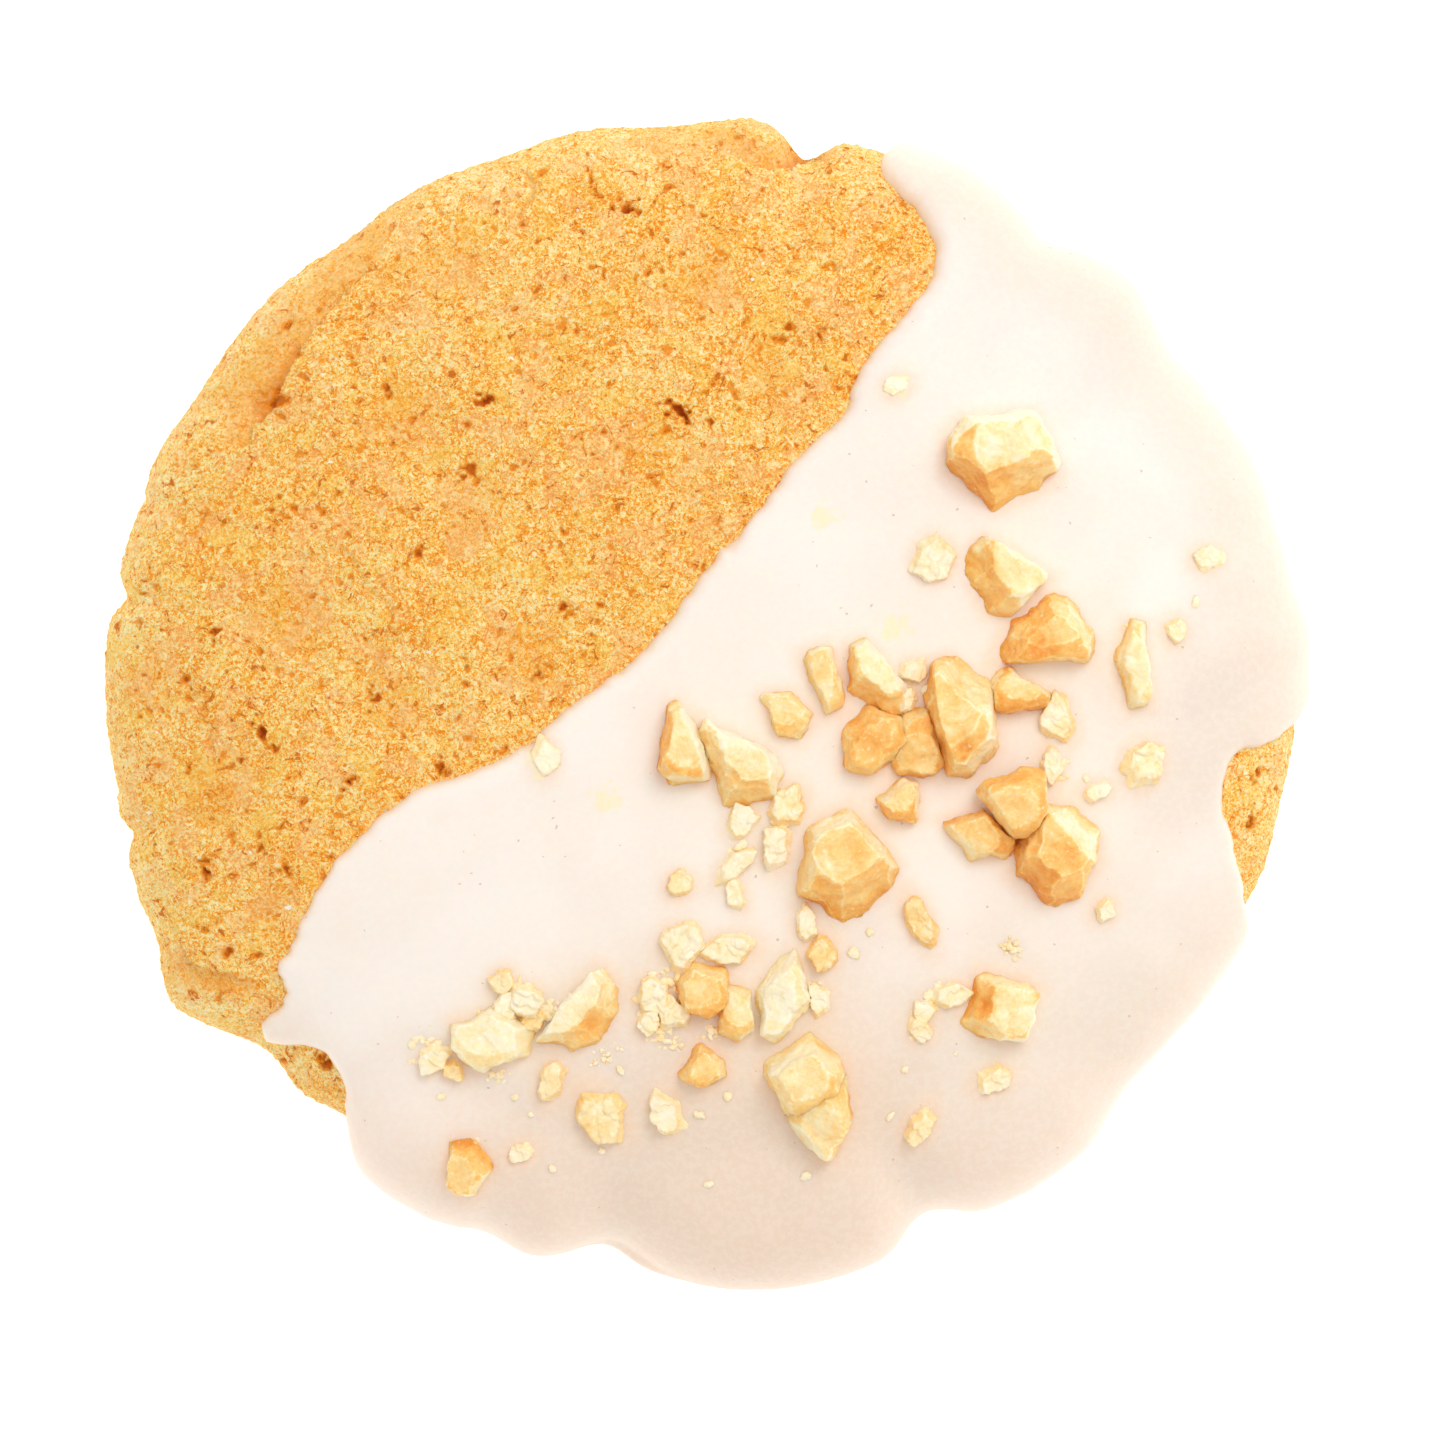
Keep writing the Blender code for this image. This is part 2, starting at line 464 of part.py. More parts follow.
def biscuit_base(points, faces, border):
    """The flat base: rings of half as many points each time, down to a point in the middle."""
    points = list(map(tuple, points))
    outer = list(border)
    while len(outer) > BASE_LEAST_POINTS:
        inner = []
        for index in outer[::2]:
            x, y, _ = points[index]
            inner.append(len(points))
            points.append((x * BASE_RING_SHARE, y * BASE_RING_SHARE, 0.0))
        for step, near in enumerate(inner):
            first, second = outer[2 * step], outer[2 * step + 1]
            third = outer[(2 * step + 2) % len(outer)]
            following = inner[(step + 1) % len(inner)]
            faces += [(first, second, near), (second, following, near), (second, third, following)]
        outer = inner
    middle = len(points)
    points.append((0.0, 0.0, 0.0))
    faces += [(outer[step], outer[(step + 1) % len(outer)], middle) for step in range(len(outer))]
    return points, faces


def make_biscuit(loop, material):
    points, faces, border = biscuit_top(loop)
    points, faces = biscuit_base(points, faces, border)
    return add_object(bmesh_from(points, faces), "biscuit", material)


def rows_beside(loop, distances):
    """Rows of points inside a closed loop, at even distances from it, without those that crowd in corners."""
    run = np.roll(loop, -1, axis=0) - np.roll(loop, 1, axis=0)
    across = np.column_stack([-run[:, 1], run[:, 0]])
    across /= np.linalg.norm(across, axis=1)[:, None]
    probe = distance_to_loop(loop + 0.2 * across, loop)
    across *= np.sign(np.median(probe))
    rows = []
    for distance in distances:
        row = loop + across * distance
        rows.append(row[distance_to_loop(row, loop) > 0.9 * distance])
    return np.vstack(rows)


def rings_inside(loop, clearance):
    """Rings of points about the cookie's middle, closer together towards the side."""
    points = []
    radius = 0.0
    while radius < PROFILE_LENGTH:
        spacing = TOP_SPACING if radius < SIDE_START else SIDE_SPACING
        count = max(1, round(2 * math.pi * radius / spacing))
        turn = (np.arange(count) + 0.5 * (len(points) % 2)) * 2 * math.pi / count
        points.append(np.column_stack([np.cos(turn), np.sin(turn)]) * radius)
        radius += spacing
    points = np.vstack(points)
    return points[distance_to_loop(points, loop) > clearance]


def thinned(points, gap):
    """Drop points that lie closer than a gap to an earlier one."""
    kept = []
    for point in points:
        if not kept or np.linalg.norm(np.array(kept) - point, axis=1).min() > gap:
            kept.append(point)
    return np.array(kept)


def fill_loop(loop, inner):
    """Triangles over the inside of a loop through its own points and the inner ones."""
    points = [Vector(point) for point in np.vstack([loop, inner]).tolist()]
    count = len(loop)
    border = [(index, (index + 1) % count) for index in range(count)]
    result = delaunay_2d_cdt(points, border, [list(range(count))], 1, 1e-5)
    faces, origins = result[2], result[3]
    source = [origin[0] for origin in origins]
    return [tuple(source[index] for index in face) for face in faces]


def make_icing(loop, material):
    """The icing as a closed skin: a lifted top, and an underside that follows the biscuit."""
    beside = thinned(rows_beside(loop, EDGE_ROWS), ROW_GAP)
    under_beside = rows_beside(loop, UNDER_EDGE_ROWS)
    top_inner = np.vstack([beside, rings_inside(loop, EDGE_ROWS[-1] + RING_CLEARANCE)])
    under_inner = np.vstack([under_beside, rings_inside(loop, UNDER_EDGE_ROWS[-1] + RING_CLEARANCE)])
    top_faces = fill_loop(loop, top_inner)
    under_faces = fill_loop(loop, under_inner)
    flat = np.vstack([loop, top_inner, under_inner])
    bearing, way = rolled(flat)
    lift = np.full(len(flat), GAP)
    lifted = slice(len(loop), len(loop) + len(top_inner))
    edge_distance = distance_to_loop(flat[lifted], loop)
    lift[lifted] += icing_thickness(bearing[lifted], way[lifted], edge_distance)
    points = surface(bearing, way, lift)
    shift = len(top_inner)
    faces = list(top_faces)
    for face in under_faces:
        moved = [index if index < len(loop) else index + shift for index in face]
        faces.append(tuple(moved[::-1]))
    return add_object(bmesh_from(points, faces), "icing", material)


def icing_top_frame(x, y):
    """Matrix that stands a nut on the icing at a place of the plan, square to the surface."""
    bearing = float(bearing_of(x, y))
    ways = WAY[WAY <= WIDEST_WAY]
    around, far_in = np.full(len(ways), bearing), np.full(len(ways), PROFILE_LENGTH)
    tops = surface(around, ways, GAP + icing_thickness(around, ways, far_in))
    reach = np.hypot(tops[:, 0], tops[:, 1])
    way = float(np.interp(math.hypot(x, y), reach, ways))
    point = [float(np.interp(way, ways, tops[:, axis])) for axis in range(3)]
    out = float(np.interp(way, WAY, WAY_OUT))
    up = float(np.interp(way, WAY, WAY_UP))
    turn = math.radians(bearing)
    normal = Vector((out * math.cos(turn), out * math.sin(turn), up))
    tilt = Vector((0, 0, 1)).rotation_difference(normal).to_matrix().to_4x4()
    return Matrix.Translation(Vector(point)) @ tilt


def keep_inside(mesh, point, normal):
    """Cut a convex solid with a plane, drop what is outside, and close the cut."""
    geometry = mesh.verts[:] + mesh.edges[:] + mesh.faces[:]
    bmesh.ops.bisect_plane(mesh, geom=geometry, dist=1e-7, plane_co=point, plane_no=normal, clear_outer=True)
    bmesh.ops.holes_fill(mesh, edges=[edge for edge in mesh.edges if edge.is_boundary], sides=0)


def facet(bearing, lean):
    """Outward normal of a side that faces a bearing and leans in by some degrees."""
    turn, tip = math.radians(bearing), math.radians(lean)
    return Vector((math.cos(turn) * math.cos(tip), math.sin(turn) * math.cos(tip), math.sin(tip)))


def add_chunk(place, underside, height, tilt, sides, material, collection):
    """A broken piece of kernel: a round body split along flat faces."""
    least = 0.5 * max(foot for _, foot, _ in sides)
    spread_x = max(foot * abs(math.cos(math.radians(bearing))) for bearing, foot, _ in sides)
    spread_y = max(foot * abs(math.sin(math.radians(bearing))) for bearing, foot, _ in sides)
    wide, deep = (KERNEL_ROUND * max(spread, least) for spread in (spread_x, spread_y))
    mesh = bmesh.new()
    bmesh.ops.create_icosphere(mesh, subdivisions=2, radius=1.0)
    kernel = Matrix.Diagonal((wide, deep, KERNEL_TALL * height, 1.0))
    middle = Matrix.Translation((0, 0, KERNEL_MIDDLE * height))
    bmesh.ops.transform(mesh, matrix=middle @ kernel, verts=mesh.verts)
    for bearing, foot, lean in sides:
        turn = math.radians(bearing)
        keep_inside(mesh, Vector((foot * math.cos(turn), foot * math.sin(turn), 0.0)), facet(bearing, lean))
    keep_inside(mesh, Vector((0, 0, height)), facet(tilt[0], 90 - tilt[1]))
    keep_inside(mesh, Vector((0, 0, underside)), Vector((0, 0, -1)))
    mesh.transform(Matrix.Scale(MM, 4) @ icing_top_frame(*place))
    bmesh.ops.remove_doubles(mesh, verts=mesh.verts, dist=0.00002)
    add_object(mesh, "chunk", material, collection)


def add_flake(x, y, length, width, height, heading, draw, material, collection):
    """A thin splinter: an uneven six-sided slab, narrower at the top."""
    uneven = FLAKE_UNEVENNESS
    outline = []
    for step in range(FLAKE_CORNERS):
        turn = 2 * math.pi * (step + draw.uniform(-2 * uneven, 2 * uneven)) / FLAKE_CORNERS
        grow = draw.uniform(1 - uneven, 1 + uneven)
        reach = 0.5 * FLAKE_SPREAD * grow
        outline.append((reach * length * math.cos(turn), reach * width * math.sin(turn)))
    shift_x = draw.uniform(-uneven, uneven) * length
    shift_y = draw.uniform(-uneven, uneven) * width
    points = [(px, py, -NUT_SINK) for px, py in outline]
    for px, py in outline:
        top = height * draw.uniform(1 - 2 * uneven, 1.0)
        points.append((px * FLAKE_TOP_SHARE + shift_x, py * FLAKE_TOP_SHARE + shift_y, top))
    mesh = bmesh.new()
    for point in points:
        mesh.verts.new(point)
    bmesh.ops.convex_hull(mesh, input=mesh.verts[:])
    spin = Matrix.Rotation(math.radians(heading), 4, "Z")
    mesh.transform(Matrix.Scale(MM, 4) @ icing_top_frame(x, y) @ spin)
    add_object(mesh, "flake", material, collection)


def add_peanuts(icing, material):
    """Build every nut in a collection and join them all onto the icing."""
    nuts = bpy.data.collections.new("peanuts")
    bpy.context.scene.collection.children.link(nuts)
    for place, height, tilt, sides in CHUNKS:
        add_chunk(place, -NUT_SINK, height, tilt, sides, material, nuts)
    place, underside, height, tilt, sides = LEANING_CHUNK
    add_chunk(place, underside, height, tilt, sides, material, nuts)
    draw = random.Random(FLAKE_SEED)
    for flake in FLAKES:
        add_flake(*flake, draw, material, nuts)
    union = icing.modifiers.new("peanuts", "BOOLEAN")
    union.operation = "UNION"
    union.operand_type = "COLLECTION"
    union.collection = nuts
    union.solver = "EXACT"
    joined = bpy.data.meshes.new_from_object(icing.evaluated_get(bpy.context.evaluated_depsgraph_get()))
    icing.modifiers.clear()
    icing.data = joined
    for item in list(nuts.objects):
        bpy.data.objects.remove(item)
    bpy.data.collections.remove(nuts)


def clean_and_centre(item):
    """Drop slivers left by the union, and move the plan's middle to the origin."""
    mesh = bmesh.new()
    mesh.from_mesh(item.data)
    bmesh.ops.remove_doubles(mesh, verts=mesh.verts, dist=0.00001)
    bmesh.ops.dissolve_degenerate(mesh, edges=mesh.edges, dist=0.000005)
    bmesh.ops.triangulate(mesh, faces=mesh.faces[:])
    mesh.transform(Matrix.Translation((-PLAN_MIDDLE[0] * MM, -PLAN_MIDDLE[1] * MM, 0.0)))
    mesh.to_mesh(item.data)
    mesh.free()
    item.data.shade_smooth()
    item.data.set_sharp_from_angle(angle=math.radians(SHARP_ANGLE))


def main():
    for item in list(bpy.data.objects):
        bpy.data.objects.remove(item)
    loop = icing_loop()
    biscuit = make_biscuit(loop, make_material("biscuit"))
    icing = make_icing(loop, make_material("icing"))
    add_peanuts(icing, make_material("peanut"))
    for item in (biscuit, icing):
        clean_and_centre(item)


main()
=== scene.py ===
# %% [markdown]
# # A peanut cookie, half dipped in icing
#
# The real object is a soft-baked biscuit about 84 mm across. Its right and lower half was dipped in white
# icing, and chopped roasted peanuts were scattered on while the icing was wet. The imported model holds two
# plain solids for it, the biscuit and the icing with its nuts. This script keeps their form and gives them
# the surface that such a solid can't hold: the crumb, the pores, the soft edge of the icing, and every nut.
#
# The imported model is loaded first, because every piece below is fitted to it.

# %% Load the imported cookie
import math
import random

import bmesh
import bpy
import numpy as np
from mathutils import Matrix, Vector, noise
from mathutils.geometry import delaunay_2d_cdt


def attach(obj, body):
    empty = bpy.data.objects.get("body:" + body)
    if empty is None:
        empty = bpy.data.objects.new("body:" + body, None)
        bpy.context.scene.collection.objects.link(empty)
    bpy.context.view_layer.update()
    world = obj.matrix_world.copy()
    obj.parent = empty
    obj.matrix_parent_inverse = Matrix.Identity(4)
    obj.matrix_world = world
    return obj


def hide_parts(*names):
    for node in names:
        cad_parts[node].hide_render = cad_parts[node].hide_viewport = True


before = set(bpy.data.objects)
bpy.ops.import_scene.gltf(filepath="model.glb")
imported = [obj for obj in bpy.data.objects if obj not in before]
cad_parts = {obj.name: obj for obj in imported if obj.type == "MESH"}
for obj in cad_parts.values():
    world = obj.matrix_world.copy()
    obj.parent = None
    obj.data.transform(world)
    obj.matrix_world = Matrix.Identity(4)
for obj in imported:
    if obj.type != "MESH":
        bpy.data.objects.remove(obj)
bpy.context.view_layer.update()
print("nodes", sorted(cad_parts))

# %% [markdown]
# ## The form of the biscuit
#
# The biscuit is a low round cake: an almost flat top, a rounded side, and a flat base that it was baked on.
# It could be sculpted from a cylinder with a subdivision surface, but the icing has to follow it at an even
# distance. So it is a formula instead: a bearing round the cookie and a share of the way down its profile
# give a point, and a lift moves that point out of the surface. These sizes are the ones that the solids were
# made from, in millimetres, with bearings in degrees counter-clockwise from +X.

# %% Sizes of the biscuit
MM = 0.001
PLAN_MIDDLE = (-0.02, 0.05)

BISCUIT_HEIGHT = 12.5
FOOT_HEIGHT = 3.0
FOOT_TUCK = 2.4
CROWN_POWER = 3.0
MEAN_RADIUS = 40.0
RIM_RADII = (40.7, 40.2, 40.2, 40.5, 41.0, 41.8, 41.8, 41.2, 37.7, 37.2, 37.5, 39.1)
# Bites and crags of the rim: bearing, half-width in degrees, reach
RIM_CRAGS = (
    (37.5, 3.0, -0.7), (54.5, 3.5, -1.5), (80, 2.4, -1.9), (86, 3.0, 0.5), (160, 1.2, -0.3),
    (169.5, 1.5, -0.9), (176, 4.0, 0.2), (187, 3.5, -0.6), (192.5, 1.4, -0.8), (208, 4.0, 1.4),
    (218, 4.5, -1.6), (229, 5.0, -0.9),
)


def smooth_step(low, high, value):
    """0 below low, 1 above high, smooth between."""
    part = np.clip((value - low) / (high - low), 0.0, 1.0)
    return part * part * (3.0 - 2.0 * part)


def catmull_rom(first, second, third, fourth, t):
    """A smooth curve's point between the second and the third of four neighbours."""
    bend = (third - first) * t
    bend = bend + (2 * first - 5 * second + 4 * third - fourth) * t ** 2
    bend = bend + (3 * second - first - 3 * third + fourth) * t ** 3
    return second + 0.5 * bend


def bearing_of(x, y):
    return np.degrees(np.arctan2(y, x))


def turned(x, y, heading):
    """Offsets along a heading and to its left; with the heading's negative, the way back."""
    turn = math.radians(heading)
    return x * math.cos(turn) + y * math.sin(turn), y * math.cos(turn) - x * math.sin(turn)


def rim_radius(bearing):
    """The biscuit's widest radius at a bearing: a smooth ring with its bites and crags."""
    knots = np.asarray(RIM_RADII)
    place = (np.asarray(bearing, float) % 360.0) * len(knots) / 360.0
    index = np.floor(place).astype(int)
    four = (knots[(index + shift) % len(knots)] for shift in (-1, 0, 1, 2))
    radius = catmull_rom(*four, place - index)
    for middle, half_width, reach in RIM_CRAGS:
        off = (np.asarray(bearing) - middle + 180.0) % 360.0 - 180.0
        radius = radius + reach * np.exp(-(off / half_width) ** 2)
    return radius


print("rim", [round(float(rim_radius(bearing)), 1) for bearing in (0.0, 90.0, 180.0, 270.0)], "mm")

# %% [markdown]
# ## From the formula to points
#
# The profile is a superellipse over the crown and a quarter of an ellipse where the side tucks under. It is
# sampled once into arrays, and everything else reads those arrays with np.interp. Rolled out flat, the way
# down the profile becomes a radius. In that flat plane the icing's edge is one closed line, even where it
# runs down the side, so triangles can be laid there and then wrapped round the cookie.

# %% Profile and surface
PROFILE_SAMPLES = 400


def profile():
    """Share of the way, share of the rim's radius, height, and the outward normal, from top to base."""
    turn = np.linspace(0.0, math.pi / 2, PROFILE_SAMPLES)
    crown_radius = np.sin(turn) ** (2 / CROWN_POWER)
    crown_height = FOOT_HEIGHT + (BISCUIT_HEIGHT - FOOT_HEIGHT) * np.cos(turn) ** (2 / CROWN_POWER)
    tuck_radius = 1.0 - FOOT_TUCK / MEAN_RADIUS * (1.0 - np.cos(turn[1:]))
    tuck_height = FOOT_HEIGHT * (1.0 - np.sin(turn[1:]))
    radius = np.concatenate([crown_radius, tuck_radius])
    height = np.concatenate([crown_height, tuck_height])
    step = np.hypot(np.diff(radius) * MEAN_RADIUS, np.diff(height))
    length = np.concatenate([[0.0], np.cumsum(step)])
    across = np.gradient(radius * MEAN_RADIUS, length)
    down = np.gradient(height, length)
    size = np.hypot(across, down)
    return length / length[-1], radius, height, -down / size, across / size, float(length[-1])


WAY, WAY_RADIUS, WAY_HEIGHT, WAY_OUT, WAY_UP, PROFILE_LENGTH = profile()
WIDEST_WAY = float(WAY[np.argmax(WAY_RADIUS)])


def way_at(x, y):
    """Share of the way along the profile of a point of the plan, on the upper side."""
    share = np.hypot(x, y) / rim_radius(bearing_of(x, y))
    upper = WAY <= WIDEST_WAY
    return np.interp(share, WAY_RADIUS[upper], WAY[upper])


def way_at_height(height):
    """Share of the way along the profile at a height under the widest level."""
    lower = WAY >= WIDEST_WAY
    return float(np.interp(-height, -WAY_HEIGHT[lower], WAY[lower]))


def share_of_rim(way):
    """How far out the profile is at a share of its way, as a part of the rim's radius."""
    return np.interp(way, WAY, WAY_RADIUS)


def surface(bearing, way, lift=0.0):
    """Points on the biscuit's smooth form, moved out along its normal by lift."""
    radius = share_of_rim(way) * rim_radius(bearing)
    turn = np.radians(bearing)
    reach = radius + np.interp(way, WAY, WAY_OUT) * lift
    height = np.interp(way, WAY, WAY_HEIGHT) + np.interp(way, WAY, WAY_UP) * lift
    return np.column_stack([reach * np.cos(turn), reach * np.sin(turn), height])


def unrolled(bearing, way):
    """The side rolled out flat: the same bearing, with the way along the profile as the radius."""
    turn = np.radians(bearing)
    return np.column_stack([way * np.cos(turn), way * np.sin(turn)]) * PROFILE_LENGTH


def rolled(points):
    """Bearing and way of unrolled points."""
    return bearing_of(points[:, 0], points[:, 1]), np.hypot(points[:, 0], points[:, 1]) / PROFILE_LENGTH


def plan_to_unrolled(points):
    points = np.asarray(points, float)
    return unrolled(bearing_of(points[:, 0], points[:, 1]), way_at(points[:, 0], points[:, 1]))


print("profile", round(PROFILE_LENGTH, 1), "mm long, widest at", round(WIDEST_WAY, 3), "of the way")

# %% [markdown]
# ## The line that the dip left
#
# On the real cookie the icing ends in one long line: across the top where the cookie left the bowl, and
# round the side where the drips stopped, with two bare windows where it missed the flank. The line is drawn
# through a few points that were judged from the photograph, with a smooth curve between them. A painted mask
# would give the same picture from above, but the icing is thick, so its edge has to be a real edge.

# %% Edge of the icing
DRIP_EDGE_HEIGHT = 1.9
DIP_LINE = (
    (12.4, 38.7), (11.9, 36.9), (13.0, 35.4), (14.7, 34.0), (15.5, 31.6), (15.0, 29.0), (12.4, 25.9),
    (10.0, 22.4), (9.2, 20.0), (6.3, 17.2), (2.4, 12.4), (-0.4, 9.2), (-4.2, 4.2), (-7.4, 1.5),
    (-10.8, -1.0), (-12.4, -2.6), (-16.3, -4.3), (-20.5, -6.0), (-23.8, -8.6), (-26.5, -11.8),
    (-28.5, -15.6), (-29.7, -18.0), (-29.4, -20.2), (-31.0, -21.8),
)
LEFT_WINDOW = ((-30.6, -23.1), (-28.5, -23.5), (-26.4, -24.1), (-25.4, -25.7), (-25.1, -27.2))
RIGHT_WINDOW = (
    (36.5, -15.9), (36.7, -12.8), (36.2, -9.5), (35.4, -7.0), (35.6, -4.8), (36.9, -3.1), (39.2, -2.3),
)
DIP_BEARING = 71.5
RIGHT_WINDOW_BEARINGS = (-27.0, 1.5)
DRIP_END_BEARING = -128.0
CURVE_SAMPLES = 900
EDGE_SPACING = 0.33
# The line follows the rough crust: the size of its wobbles and how far they reach
EDGE_WOBBLE = ((2.6, 0.20), (1.1, 0.17))


def even_spacing(curve, count, closed=False):
    """Points at even distances along a line."""
    if closed:
        curve = np.vstack([curve, curve[:1]])
    step = np.linalg.norm(np.diff(curve, axis=0), axis=1)
    length = np.concatenate([[0.0], np.cumsum(step)])
    stops = np.linspace(0.0, length[-1], count, endpoint=not closed)
    return np.column_stack([np.interp(stops, length, curve[:, 0]), np.interp(stops, length, curve[:, 1])])


def through_points(points, count):
    """Evenly spaced points along a smooth curve through the given ones."""
    points = np.asarray(points, float)
    padded = np.vstack([2 * points[0] - points[1], points, 2 * points[-1] - points[-2]])
    t = np.linspace(0.0, 1.0, 24, endpoint=False)[:, None]
    fours = zip(padded, padded[1:], padded[2:], padded[3:])
    return even_spacing(np.vstack([catmull_rom(*four, t) for four in fours] + [points[-1:]]), count)


def drip_edge(first, last, steps):
    """The icing's lower edge round the side, from one bearing to another."""
    return unrolled(np.linspace(first, last, steps), np.full(steps, way_at_height(DRIP_EDGE_HEIGHT)))


def icing_loop(spacing):
    """The edge of the iced half, unrolled: the dip line, and the drip edge with its two bare windows."""
    start = drip_edge(DIP_BEARING, DIP_BEARING, 1)
    dip = np.vstack([start, plan_to_unrolled(through_points(DIP_LINE, CURVE_SAMPLES))])
    before, after = RIGHT_WINDOW_BEARINGS
    outer = through_points(np.vstack([
        drip_edge(DIP_BEARING, after, 24), plan_to_unrolled(RIGHT_WINDOW[::-1]),
        drip_edge(before, DRIP_END_BEARING, 32), plan_to_unrolled(LEFT_WINDOW[::-1]), dip[-1:],
    ]), CURVE_SAMPLES)
    loop = np.vstack([dip, outer[1:-1][::-1]])
    length = np.linalg.norm(loop - np.roll(loop, 1, axis=0), axis=1).sum()
    return even_spacing(loop, round(length / spacing), closed=True)


def bumps(points, size, seed, octaves=2):
    """Smooth noise from about -1 to 1, with bumps about as wide as size."""
    shift = Vector((3.7, 9.1, 5.3)) * seed
    points = np.asarray(points, float) / size
    if points.shape[1] == 2:
        points = np.column_stack([points, np.zeros(len(points))])
    return np.array([noise.fractal(Vector(point) + shift, 1.0, 2.0, octaves) for point in points.tolist()])


def layered(points, table, seed):
    """Bumps of several sizes added up, from a table of their sizes and reaches."""
    return sum(reach * bumps(points, size, order) for order, (size, reach) in enumerate(table, seed))


def across(loop):
    """Unit vectors square to a closed line, to its left."""
    run = np.roll(loop, -1, axis=0) - np.roll(loop, 1, axis=0)
    return np.column_stack([-run[:, 1], run[:, 0]]) / np.linalg.norm(run, axis=1)[:, None]


smooth_edge = icing_loop(1.2)
edge = icing_loop(EDGE_SPACING)
edge = edge + across(edge) * layered(edge, EDGE_WOBBLE, 1)[:, None]
print("icing edge", len(edge), "points,", round(len(edge) * EDGE_SPACING), "mm long")

# %% [markdown]
# ## Distance to the edge
#
# Both pieces need to know how far a point lies from the icing's edge: the icing to round itself off there,
# the biscuit to stay smooth where it is covered. Blender could answer with a BVH tree, but the sign, inside
# or outside, is needed too. A plain distance to every stretch of the line with a crossing count gives both,
# and numpy does it for all points together, in batches that fit in memory.

# %% Signed distance to a closed line
BATCH = 4000


def distance_in_batch(points, start, run):
    offset = points[:, None, :] - start[None, :, :]
    size = np.maximum(np.sum(run * run, axis=1), 1e-12)
    share = np.clip(np.sum(offset * run, axis=2) / size, 0.0, 1.0)
    nearest = np.linalg.norm(offset - share[:, :, None] * run, axis=2).min(axis=1)
    end = start + run
    spans = (start[None, :, 1] > points[:, 1:2]) != (end[None, :, 1] > points[:, 1:2])
    rise = np.where(np.abs(run[:, 1]) < 1e-12, 1e-12, run[:, 1])
    crossing = start[:, 0] + (points[:, 1:2] - start[:, 1]) / rise * run[:, 0]
    inside = np.sum(spans & (points[:, 0:1] < crossing), axis=1) % 2 == 1
    return np.where(inside, nearest, -nearest)


def distance_to_loop(points, loop):
    """Distance of each point to a closed loop, positive inside it."""
    run = np.roll(loop, -1, axis=0) - loop
    batches = range(0, len(points), BATCH)
    return np.concatenate([distance_in_batch(points[first:first + BATCH], loop, run) for first in batches])


middle_inside = float(distance_to_loop(np.zeros((1, 2)), smooth_edge)[0])
print("middle of the top lies", round(middle_inside, 1), "mm inside the icing")

# %% [markdown]
# ## Laying triangles
#
# The crumb of the biscuit is a few tenths of a millimetre wide, so the bare half needs about 90,000 points,
# and the half under the icing hardly any. A grid or a subdivision surface would spend as many on both. Here a
# triangular lattice is dense where the crust shows and sparse where it is hidden, and Blender's constrained
# Delaunay triangulation joins whatever points it is given.

# %% Lattice and triangles
BORDER_SPACING = 0.45
CRUST_SPACING = 0.218
HIDDEN_SPACING = 1.8
HIDDEN_DEPTH = 0.8
BASE_SPACING = 2.5


def lattice(radius, spacing):
    """A triangular lattice over a disc."""
    row_gap = spacing * math.sqrt(0.75)
    rows = np.arange(-math.ceil(radius / row_gap), math.ceil(radius / row_gap) + 1)
    columns = np.arange(-math.ceil(radius / spacing), math.ceil(radius / spacing) + 1)
    column, row = np.meshgrid(columns, rows)
    points = np.column_stack([(column + 0.5 * (row % 2)).ravel() * spacing, row.ravel() * row_gap])
    return points[np.hypot(points[:, 0], points[:, 1]) < radius]


def fill_loop(loop, inner):
    """Triangles over the inside of a loop through its own points and the inner ones."""
    points = [Vector(point) for point in np.vstack([loop, inner]).tolist()]
    count = len(loop)
    border = [(index, (index + 1) % count) for index in range(count)]
    result = delaunay_2d_cdt(points, border, [list(range(count))], 1, 1e-6)
    faces, origins = result[2], result[3]
    source = [origin[0] for origin in origins]
    return [tuple(source[index] for index in face) for face in faces]


border_count = round(2 * math.pi * PROFILE_LENGTH / BORDER_SPACING)
border = unrolled(np.arange(border_count) * 360.0 / border_count, np.ones(border_count))
fine = lattice(PROFILE_LENGTH - 0.5 * CRUST_SPACING, CRUST_SPACING)
fine = fine[distance_to_loop(fine, smooth_edge) < HIDDEN_DEPTH]
coarse = lattice(PROFILE_LENGTH - HIDDEN_SPACING, HIDDEN_SPACING)
coarse = coarse[distance_to_loop(coarse, smooth_edge) > HIDDEN_DEPTH + HIDDEN_SPACING / 2]
crust_inner = np.vstack([fine, coarse])
crust_faces = fill_loop(border, crust_inner)
base_inner = lattice(PROFILE_LENGTH - BASE_SPACING, BASE_SPACING)
base_faces = fill_loop(border, base_inner)
print("crust", len(crust_inner), "points,", len(crust_faces), "triangles; base", len(base_faces))

# %% [markdown]
# ## The baked crust
#
# The real top has gentle swells, a crumbly skin, a long crack near the left rim where the outside sank, and
# holes where steam broke out. Swells, cracks and holes are large enough to throw shadows, so they are moved
# points and not bump. Each hole is an oval with a ragged outline: its distance is measured after the plan is
# warped by noise. What is finer than the mesh is left to the material.

# %% Swells, cracks and holes
LUMP_COUNT = 14
LUMP_HEIGHT = 0.05
LUMP_WAVES = (7.0, 20.0)
LUMP_SEED = 7
BARE_FADE = (0.6, 2.2)
RELIEF_FOOT = 0.2
